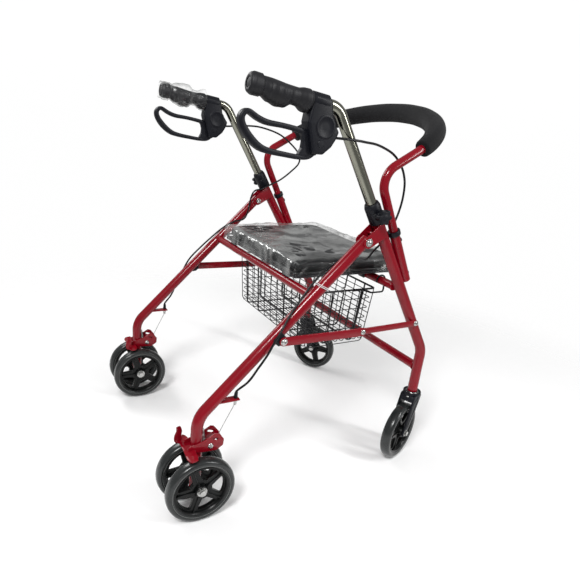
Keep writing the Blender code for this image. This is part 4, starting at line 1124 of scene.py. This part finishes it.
def wheel(name, centre, axis, boss_half, body, hub_node, tyre_node):
    """A five-spoked hub with ribs and a bearing each side, in a moulded tyre."""
    profile = TYRE + [(r, -h) for r, h in TYRE[::-1]] + [TYRE[0]]
    tyre = turned(f"{name}_tyre", profile, centre, axis, RUBBER, body, [tyre_node], steps=112, sharp=30)
    for sign, label in ((1, "a"), (-1, "b")):
        lip = [(0.0640 + 0.0005 * cos(radians(t)), sign * (0.0120 + 0.0005 * sin(radians(t))))
               for t in range(0, 360, 45)]
        turned(f"{name}_lip_{label}", lip + lip[:1], centre, axis, SEAM, body, steps=112, sharp=90)
    rim = [(0.0604, 0.0098), (0.0588, 0.0106), (0.0566, 0.0106), (0.0558, 0.0098), (0.0535, 0.0060),
           (0.0530, 0.0), (0.0535, -0.0060), (0.0558, -0.0098), (0.0566, -0.0106), (0.0588, -0.0106),
           (0.0604, -0.0098), (0.0604, 0.0098)]
    hub = turned(f"{name}_rim", rim, centre, axis, HUB, body, [hub_node], steps=96, sharp=40)
    outlines = [circle((0, 0), 0.0545, 80)]
    for i in range(5):
        middle = 72 * i
        corners = (arc((0, 0), 0.0515, middle - 27, middle + 27, 6)
                   + arc((0, 0), 0.0250, middle + 12, middle - 12, 2))
        outlines.append(soft_ring(corners, 0.0024, 3))
    outlines.append(circle((0, 0), 0.0120, 32))
    spokes = oriented(flat_mesh(outlines, 0.0096, 0, 0.0010, 2), centre, axis)
    add(f"{name}_spokes", spokes, HUB, body, sharp=40)
    for i in range(5):
        a = radians(72 * i + 36)
        ahead = Vector((0, cos(a), sin(a)))
        across = Vector((0, -sin(a), cos(a)))
        made = bmesh.new()
        rows = []
        for k in range(9):
            r = 0.0120 + 0.0420 * k / 8
            height = 0.0098 - 0.0032 * sin(pi * k / 8)
            ring = []
            for u, v in ((-0.0012, 0.6), (-0.0010, 0.96), (0, 1.0), (0.0010, 0.96), (0.0012, 0.6),
                         (0.0012, -0.6), (0.0010, -0.96), (0, -1.0), (-0.0010, -0.96), (-0.0012, -0.6)):
                ring.append(made.verts.new(ahead * r + across * u + X * v * height))
            rows.append(ring)
        for low, high in zip(rows, rows[1:]):
            for j in range(10):
                made.faces.new((low[j], low[(j + 1) % 10], high[(j + 1) % 10], high[j]))
        made.faces.new(rows[0][::-1])
        made.faces.new(rows[-1])
        bmesh.ops.recalc_face_normals(made, faces=made.faces)
        mesh = bpy.data.meshes.new("rib")
        made.to_mesh(mesh)
        made.free()
        add(f"{name}_rib_{i}", oriented(mesh, centre, axis), HUB, body, sharp=50)
    half = boss_half
    boss = [(0.0112, half - 0.0022), (0.0118, half - 0.0002), (0.0136, half), (0.0146, half - 0.0010),
            (0.0158, 0.0050), (0.0158, -0.0050), (0.0146, -half + 0.0010), (0.0136, -half),
            (0.0118, -half + 0.0002), (0.0112, -half + 0.0022), (0.0112, half - 0.0022)]
    turned(f"{name}_boss", boss, centre, axis, HUB, body, steps=64)
    for sign, label in ((1, "a"), (-1, "b")):
        race = [(0.0110, sign * (half - 0.0024)), (0.0110, sign * (half - 0.0008)),
                (0.0086, sign * (half - 0.0008)), (0.0084, sign * (half - 0.0014))]
        turned(f"{name}_race_{label}", race, centre, axis, ZINC, body, steps=48)
        seal = [(0.0085, sign * (half - 0.0013)), (0.0064, sign * (half - 0.0013))]
        turned(f"{name}_seal_{label}", seal, centre, axis, PLASTIC, body, steps=48)
        inner = [(0.0064, sign * (half - 0.0014)), (0.0063, sign * (half - 0.0006)),
                 (0.0053, sign * (half - 0.0006)), (0.0052, sign * (half - 0.0014))]
        turned(f"{name}_inner_race_{label}", inner, centre, axis, ZINC, body, steps=40)


def rear_wheels():
    for side in SIDES:
        for label, sign in (("outer", 1), ("inner", -1)):
            centre = at(side, (0, REAR_FOOT.y, WHEEL_R), sign * TWIN_OFFSET)
            wheel(f"wheel_{label}_{side}", centre, X, 0.0128, f"rear_wheel_{label}_{side}",
                  f"rear_hub_{label}_{side}", f"rear_tyre_{label}_{side}")


def casters():
    for side in SIDES:
        yaw = radians(CASTER_YAW[side])
        swivel = at(side, (0, FRONT_FOOT.y, 0))
        trail = Vector((sin(yaw), -cos(yaw), 0))
        axis = Vector((cos(yaw), sin(yaw), 0))
        centre = swivel + trail * CASTER_TRAIL + Z * WHEEL_R
        wheel(f"caster_wheel_{side}", centre, axis, 0.0150, f"caster_wheel_{side}", f"caster_hub_{side}",
              f"caster_tyre_{side}")
        body = f"caster_{side}"
        crown = [(0, 0.1600), (0.0205, 0.1600), (0.0220, 0.1615), (0.0226, 0.1640), (0.0228, 0.1700),
                 (0.0224, 0.1712), (0.0224, 0.1722), (0.0230, 0.1734), (0.0230, 0.1795), (0.0222, 0.1808),
                 (0.0205, 0.1811), (0.0190, 0.1800), (0.0180, 0.1770), (0, 0.1770)]
        first = turned(f"fork_crown_{side}", crown, swivel, Z, PLASTIC, body, [f"caster_fork_{side}"],
                       steps=64)
        for k, (radius, height) in enumerate(((0.0172, 0.1768), (0.0160, 0.1788), (0.0146, 0.1806))):
            ring = [(radius + 0.0008 * cos(radians(t)), height + 0.0008 * sin(radians(t)))
                    for t in range(0, 360, 45)]
            turned(f"fork_ring_{k}_{side}", ring + ring[:1], swivel, Z, ZINC, body, steps=64, sharp=90)
        rod(f"fork_stem_{side}", swivel + Z * 0.1765, swivel + Z * 0.2180, 0.0066, ZINC, body)
        turned(f"fork_cup_{side}", [(0.0150, 0.1765), (0.0138, 0.1800), (0.0066, 0.1806)], swivel, Z, PLASTIC,
               body)
        outline = soft_ring([(0.0195, 0.1765), (-0.0215, 0.1765), (-0.0300, 0.1520), (-0.0515, 0.0760),
                             (-0.0480, 0.0640), (-0.0330, 0.0630), (-0.0260, 0.0740), (0.0060, 0.1420)],
                            0.0075, 6)
        place = Matrix.Translation(swivel) @ Matrix.Rotation(yaw, 4, "Z")
        for sign, label in ((1, "a"), (-1, "b")):
            mesh = flat_mesh([outline], 0.0052, sign * 0.0180, 0.0018, 4)
            mesh.transform(place)
            add(f"fork_arm_{label}_{side}", mesh, PLASTIC, body, sharp=40)
            rib = soft_ring([(0.0080, 0.1640), (-0.0180, 0.1640), (-0.0270, 0.1480), (-0.0455, 0.0860),
                             (-0.0360, 0.0860), (-0.0030, 0.1450)], 0.004, 4)
            inset = soft_ring([(0.0030, 0.1605), (-0.0165, 0.1605), (-0.0245, 0.1470), (-0.0425, 0.0890),
                               (-0.0375, 0.0890), (-0.0055, 0.1470)], 0.003, 4)
            mesh = flat_mesh([rib, inset], 0.0016, sign * 0.0208, 0.0006, 2)
            mesh.transform(place)
            add(f"fork_rib_{label}_{side}", mesh, PLASTIC, body, sharp=40)
            face = centre + axis * sign * 0.0204
            turned(f"fork_washer_{label}_{side}", rounded_rod(0.0082, 0.0012, 0.0004), face, axis * sign,
                   ZINC, body, steps=32)
            nut(f"fork_nut_{label}_{side}", face + axis * sign * 0.0010, axis * sign, 0.0068, 0.0044, body)
        bridge = flat_mesh([soft_ring([(0.0150, 0.1740), (-0.0220, 0.1740), (-0.0290, 0.1570),
                                       (0.0080, 0.1570)],
                                      0.004, 4)], 0.034, 0, 0.001, 2)
        bridge.transform(place)
        add(f"fork_bridge_{side}", bridge, PLASTIC, body, sharp=40)
        dome_head(f"fork_screw_{side}", swivel + trail * 0.0222 + Z * 0.1690, trail, 0.0042, 0.0024, body)
        rod(f"fork_axle_{side}", centre - axis * 0.0235, centre + axis * 0.0235, 0.004, ZINC, body)


# Seat
def rounded_box(half_x, half_y, half_z, radius, steps=5):
    """A box with rounded vertical corners and edges."""
    made = bmesh.new()
    bmesh.ops.create_cube(made, size=2, matrix=Matrix.Diagonal((half_x, half_y, half_z, 1)))
    upright = [e for e in made.edges if abs(e.verts[0].co.z - e.verts[1].co.z) > half_z]
    bmesh.ops.bevel(made, geom=upright, offset=0.013, segments=6, affect="EDGES", profile=0.5)
    ring = [e for e in made.edges if e.calc_face_angle(0) > radians(60)]
    bmesh.ops.bevel(made, geom=ring, offset=radius, segments=steps, affect="EDGES", profile=0.5)
    return made


def inflate(obj, cap, pressure=4.0):
    """Swells a closed mesh with the cloth solver, each point moving no more than cap."""
    scene = bpy.context.scene
    scene.frame_start, scene.frame_end = 1, 20
    cloth = obj.modifiers.new("cloth", "CLOTH")
    cloth.settings.quality = 6
    cloth.settings.mass = 0.3
    cloth.settings.tension_stiffness = cloth.settings.compression_stiffness = 22
    cloth.settings.bending_stiffness = 6
    cloth.settings.use_pressure = True
    cloth.settings.uniform_pressure_force = pressure
    cloth.settings.effector_weights.gravity = 0
    cloth.point_cache.frame_start, cloth.point_cache.frame_end = 1, 20
    start = [v.co.copy() for v in obj.data.vertices]
    for number in range(1, 21):
        scene.frame_set(number)
    bpy.context.view_layer.update()
    solved = obj.evaluated_get(bpy.context.evaluated_depsgraph_get()).data
    ends = [v.co.copy() for v in solved.vertices]
    obj.modifiers.remove(cloth)
    scene.frame_set(1)
    for vertex, before, after in zip(obj.data.vertices, start, ends):
        move = after - before
        if move.length > cap:
            move *= cap / move.length
        vertex.co = before + move


def seat_cushion():
    """Foam in vinyl: crowned on top, flat where it rests on the board, with a welt round its edge."""
    base = SEAT_Z + BOARD_T + 0.0004
    middle = Vector((0, SEAT_MID_Y, base + CUSHION_T / 2))
    half_y = (SEAT_Y[1] - SEAT_Y[0]) / 2
    made = rounded_box(SEAT_X - 0.005, half_y - 0.005, CUSHION_T / 2 - 0.003, 0.010)
    mesh = bpy.data.meshes.new("cushion")
    made.to_mesh(mesh)
    made.free()
    cushion = bpy.data.objects.new("cushion_build", mesh)
    bpy.context.scene.collection.objects.link(cushion)
    remesh = cushion.modifiers.new("remesh", "REMESH")
    remesh.mode = "VOXEL"
    remesh.voxel_size = 0.006
    bpy.context.view_layer.update()
    even = bpy.data.meshes.new_from_object(cushion.evaluated_get(bpy.context.evaluated_depsgraph_get()))
    cushion.modifiers.clear()
    cushion.data = even
    inflate(cushion, 0.007)
    for vertex in cushion.data.vertices:
        x, y, z = vertex.co
        crown = max(0, 1 - (x / SEAT_X) ** 2) * max(0, 1 - (y / half_y) ** 2)
        if z > 0:
            vertex.co.z += 0.0022 * crown
        vertex.co.z = max(-CUSHION_T / 2, vertex.co.z)
        vertex.co.x = max(-SEAT_X, min(SEAT_X, vertex.co.x))
        vertex.co.y = max(-half_y, min(half_y, vertex.co.y))
    mesh = cushion.data
    bpy.data.objects.remove(cushion, do_unlink=True)
    mesh.transform(Matrix.Translation(middle))
    pad = add("seat_pad", mesh, VINYL, "seat", ["seat_cushion"], sharp=180)
    pad.modifiers.new("smooth", "SUBSURF").levels = 1
    path = []
    for cx, cy, start in ((1, 1, 0), (-1, 1, 90), (-1, -1, 180), (1, -1, 270)):
        for k in range(9):
            a = radians(start + 90 * k / 8)
            path.append(Vector((cx * (SEAT_X - 0.015) + 0.0135 * cos(a),
                                middle.y + cy * (half_y - 0.015) + 0.0135 * sin(a), base + 0.0050)))
    welt = add("seat_welt", swept_mesh(path, circle((0, 0), 0.0022, 14), closed=True), VINYL, "seat",
               sharp=90)


def ridge_noise(spot):
    """A thin crease where the noise crosses zero."""
    return max(0.0, 1 - abs(noise.noise(spot)) * 5.0) ** 1.5


def seat_film():
    """Clear packing film pulled over the cushion, creased, and tucked down over its edges."""
    base = SEAT_Z + BOARD_T
    top = base + CUSHION_T + 0.0030
    half = (SEAT_X + 0.0018, (SEAT_Y[1] - SEAT_Y[0]) / 2 + 0.0018)
    radius, skirt = 0.010, 0.038
    nx, ny = 150, 120

    def unwrap(s, reach):
        """Distance along one direction of the film to (across, drop)."""
        sign = 1 if s > 0 else -1
        s = abs(s)
        flat_part = reach - radius
        if s <= flat_part:
            return sign * s, 0.0
        turn = (s - flat_part) / radius
        if turn <= pi / 2:
            return sign * (flat_part + radius * sin(turn)), radius * (1 - cos(turn))
        return sign * reach, radius + (s - flat_part - radius * pi / 2)
    lengths = [reach - radius + radius * pi / 2 + skirt - radius for reach in half]
    made = bmesh.new()
    grid = []
    for j in range(ny + 1):
        row = []
        t = -lengths[1] + 2 * lengths[1] * j / ny
        for i in range(nx + 1):
            s = -lengths[0] + 2 * lengths[0] * i / nx
            x, drop_x = unwrap(s, half[0])
            y, drop_y = unwrap(t, half[1])
            drop = min(skirt + 0.004, hypot(drop_x, drop_y))
            corner = min(drop_x, drop_y)
            x -= corner * 0.55 * (1 if x > 0 else -1)
            y -= corner * 0.55 * (1 if y > 0 else -1)
            place = Vector((s, t, 0))
            long_fold = ridge_noise(Vector((s * 5 + t * 9, t * 3 - s * 4, 3.1)))
            cross_fold = ridge_noise(Vector((s * 14 - t * 5, s * 6 + t * 12, 8.7)))
            small = ridge_noise(place * 38 + Vector((0, 0, 4.4)))
            lift = 0.0030 * long_fold + 0.0019 * cross_fold + 0.0009 * small
            lift += 0.0014 * (noise.noise(place * 11) + 0.4)
            crown = 0.0035 * max(0, 1 - (s / half[0]) ** 2) * max(0, 1 - (t / half[1]) ** 2)
            spot = Vector((x, SEAT_MID_Y + y, top + crown - drop))
            side = Vector((drop_x * (1 if x > 0 else -1), drop_y * (1 if y > 0 else -1), 0))
            out = (Z * (radius + 0.0001) * (1 if drop < radius else 0.25) + side).normalized()
            ripple = 0.0016 * sin(s * 130 + t * 90 + 6 * noise.noise(place * 9)) * min(1, drop / radius)
            flare = side.normalized() * 0.0060 * (min(1, drop / skirt)) ** 2 if drop > radius else Vector()
            row.append(made.verts.new(spot + flare + out * max(0.0, lift + ripple)))
        grid.append(row)
    for low, high in zip(grid, grid[1:]):
        for i in range(nx):
            made.faces.new((low[i], low[i + 1], high[i + 1], high[i]))
    bmesh.ops.recalc_face_normals(made, faces=made.faces)
    mesh = bpy.data.meshes.new("seat_film")
    made.to_mesh(mesh)
    made.free()
    film = add("seat_film", mesh, FILM, "seat", sharp=180)


def seat_board():
    middle = Vector((0, SEAT_MID_Y, SEAT_Z + BOARD_T / 2))
    made = bmesh.new()
    half_y = (SEAT_Y[1] - SEAT_Y[0]) / 2
    bmesh.ops.create_cube(made, size=2,
                          matrix=Matrix.Diagonal((SEAT_X - 0.001, half_y - 0.001, BOARD_T / 2, 1)))
    upright = [e for e in made.edges if abs(e.verts[0].co.z - e.verts[1].co.z) > 0.001]
    bmesh.ops.bevel(made, geom=upright, offset=0.012, segments=6, affect="EDGES", profile=0.5)
    mesh = bpy.data.meshes.new("seat_panel")
    made.to_mesh(mesh)
    made.free()
    mesh.transform(Matrix.Translation(middle))
    panel = soften(add("seat_panel", mesh, PLASTIC, "seat", ["seat_board"]), 0.0014)
    for side, sign in SIDES.items():
        x = sign * 0.150
        front = FRONT_CROSS
        ring = arc(yz(front), CROSS_R + 0.0048, -38, 218, 18) + arc(yz(front), CROSS_R + 0.0008, 218, -38, 18)
        flat(f"seat_clip_{side}", [ring], 0.024, x, PLASTIC, "seat", edge=0.0008)
        foot = [(front.y - 0.013, SEAT_Z - 0.006), (front.y + 0.013, SEAT_Z - 0.006),
                (front.y + 0.015, SEAT_Z + 0.0005), (front.y - 0.015, SEAT_Z + 0.0005)]
        bore = [(y, max(z, front.z + CROSS_R + 0.0010)) for y, z in foot]
        flat(f"seat_clip_foot_{side}", [soft_ring(bore, 0.0010, 3)], 0.026, x, PLASTIC, "seat", edge=0.0006)
        rest_z = REAR_CROSS.z + CROSS_R + 0.0003
        rest = [(REAR_CROSS.y - 0.004, rest_z), (REAR_CROSS.y + 0.008, rest_z),
                (REAR_CROSS.y + 0.009, SEAT_Z + 0.0005), (REAR_CROSS.y - 0.005, SEAT_Z + 0.0005)]
        flat(f"seat_rest_{side}", [soft_ring(rest, 0.0012, 3)], 0.024, x, PLASTIC, "seat", edge=0.0008)
        for row, y in enumerate((SEAT_Y[0] + 0.04, SEAT_MID_Y + 0.01, SEAT_Y[1] - 0.03)):
            spot = Vector((sign * 0.165, y, SEAT_Z))
            dome_head(f"seat_screw_{row}_{side}", spot, -Z, 0.0046, 0.0018, "seat")


# Basket
BASKET_TOP_Z, BASKET_FLOOR_Z = 0.447, 0.303
BASKET_TOP = (0.190, -0.010, 0.187)
BASKET_FLOOR = (0.186, 0.000, 0.175)
BASKET_HOOK_X = 0.211


def basket_half(z):
    """(half width, back, front) of the basket's wall at a height."""
    share = (z - BASKET_FLOOR_Z) / (BASKET_TOP_Z - BASKET_FLOOR_Z)
    return [f + (t - f) * share for f, t in zip(BASKET_FLOOR, BASKET_TOP)]


def basket_loop(z, inset, corner=0.008):
    half, back, front = basket_half(z)
    half, back, front = half - inset, back + inset, front - inset
    path = []
    for cx, y, cy, start in ((1, front, 1, 0), (-1, front, 1, 90), (-1, back, -1, 180), (1, back, -1, 270)):
        for k in range(5):
            a = radians(start + 90 * k / 4)
            path.append(Vector((cx * (half - corner) + corner * cos(a),
                                y - cy * corner + corner * sin(a), z)))
    return path


def wires(name, paths, radius, sides=8, closed=False, nodes=()):
    made = bmesh.new()
    for path in paths:
        mesh = swept_mesh(path, circle((0, 0), radius, sides), closed=closed)
        made.from_mesh(mesh)
        bpy.data.meshes.remove(mesh)
    mesh = bpy.data.meshes.new(name)
    made.to_mesh(mesh)
    made.free()
    obj = add(name, mesh, WIRE, "basket", nodes, sharp=80)
    return obj


def down_and_up(x_share, inset, low, bend):
    """A wire down the back wall, under the floor and up the front wall."""
    top, floor = basket_half(BASKET_TOP_Z), basket_half(BASKET_FLOOR_Z)
    points = [(x_share * (top[0] - inset), top[1] + inset, BASKET_TOP_Z),
              (x_share * (floor[0] - inset), floor[1] + inset, low),
              (x_share * (floor[0] - inset), floor[2] - inset, low),
              (x_share * (top[0] - inset), top[2] - inset, BASKET_TOP_Z)]
    return rounded([Vector(p) for p in points], bend, 5)


def side_to_side(y_share, inset, low, bend):
    """A wire down one side wall, under the floor and up the other."""
    top, floor = basket_half(BASKET_TOP_Z), basket_half(BASKET_FLOOR_Z)
    y_top = top[1] + inset + y_share * (top[2] - top[1] - 2 * inset)
    y_low = floor[1] + inset + y_share * (floor[2] - floor[1] - 2 * inset)
    points = [(top[0] - inset, y_top, BASKET_TOP_Z), (floor[0] - inset, y_low, low),
              (-floor[0] + inset, y_low, low), (-top[0] + inset, y_top, BASKET_TOP_Z)]
    return rounded([Vector(p) for p in points], bend, 5)


def basket():
    """Welded wire mesh: hoops, wires down the walls and under the floor, a stout rim and hooks."""
    r = 0.0011
    inset, low = 0.0030, BASKET_FLOOR_Z + 0.0015
    wires("basket_hoops", [basket_loop(BASKET_TOP_Z - 0.026 * k, inset + 2 * r) for k in range(1, 6)], r,
          closed=True, nodes=["basket"])
    rows = []
    for k in range(5):
        half, back, front = basket_half(BASKET_TOP_Z - 0.013 - 0.026 * k)
        z = BASKET_TOP_Z - 0.013 - 0.026 * k
        for y in (back + inset + 2 * r, front - inset - 2 * r):
            rows.append([Vector((-half + inset, y, z)), Vector((half - inset, y, z))])
    wires("basket_rows", rows, r)
    wires("basket_uprights", [down_and_up(-1 + 2 * i / 10, inset, low, 0.010) for i in range(11)], r)
    wires("basket_ribs", [side_to_side(i / 9, inset, low + 2 * r, 0.012) for i in range(10)], r)
    wires("basket_stout",
          [down_and_up(share, 0.0022, low + 0.0007, 0.010) for share in (-0.80, -0.4, 0.4, 0.80)]
          + [side_to_side(share, 0.0022, low + 2 * r + 0.0007, 0.012) for share in (0.36, 0.80)], 0.0019, 12)
    wires("basket_rim", [basket_loop(BASKET_TOP_Z - 0.0006, 0.0016)], 0.0024, 14, True)
    hooks = []
    ring = CROSS_R + 0.0028
    z = BASKET_TOP_Z - 0.0025
    for sign in SIDES.values():
        x = sign * BASKET_HOOK_X
        over = [Vector((x, along, up)) for along, up in arc(yz(FRONT_CROSS), ring, 200, 0, 22)]
        under = [(x, FRONT_CROSS.y + ring, z), (x, 0.157, z), (sign * 0.1884, 0.148, z),
                 (sign * 0.1884, 0.120, z)]
        hooks.append(over[:-1] + rounded([over[-1]] + [Vector(p) for p in under], 0.005, 6))
    wires("basket_hooks", hooks, 0.0021, 12)
    clip = [Vector((0.1876 + 0.0052 * cos(a), 0.0900 + 0.0012 * sin(2 * a),
                    BASKET_TOP_Z + 0.0016 + 0.0062 * sin(a)))
            for a in (2 * pi * k / 24 for k in range(24))]
    ring = add("basket_clip", swept_mesh(clip, circle((0, 0), 0.0011, 10), closed=True), ZINC, "basket",
               sharp=80)


add_camera()
add_studio()
front_legs()
cross_tubes()
hinge_brackets()
rear_legs()
sockets()
backrest()
collars()
handle_tubes()
grips()
housings()
levers()
cables()
side_links()
brake_arms()
rear_wheels()
casters()
seat_cushion()
seat_film()
seat_board()
basket()

bpy.context.view_layer.update()
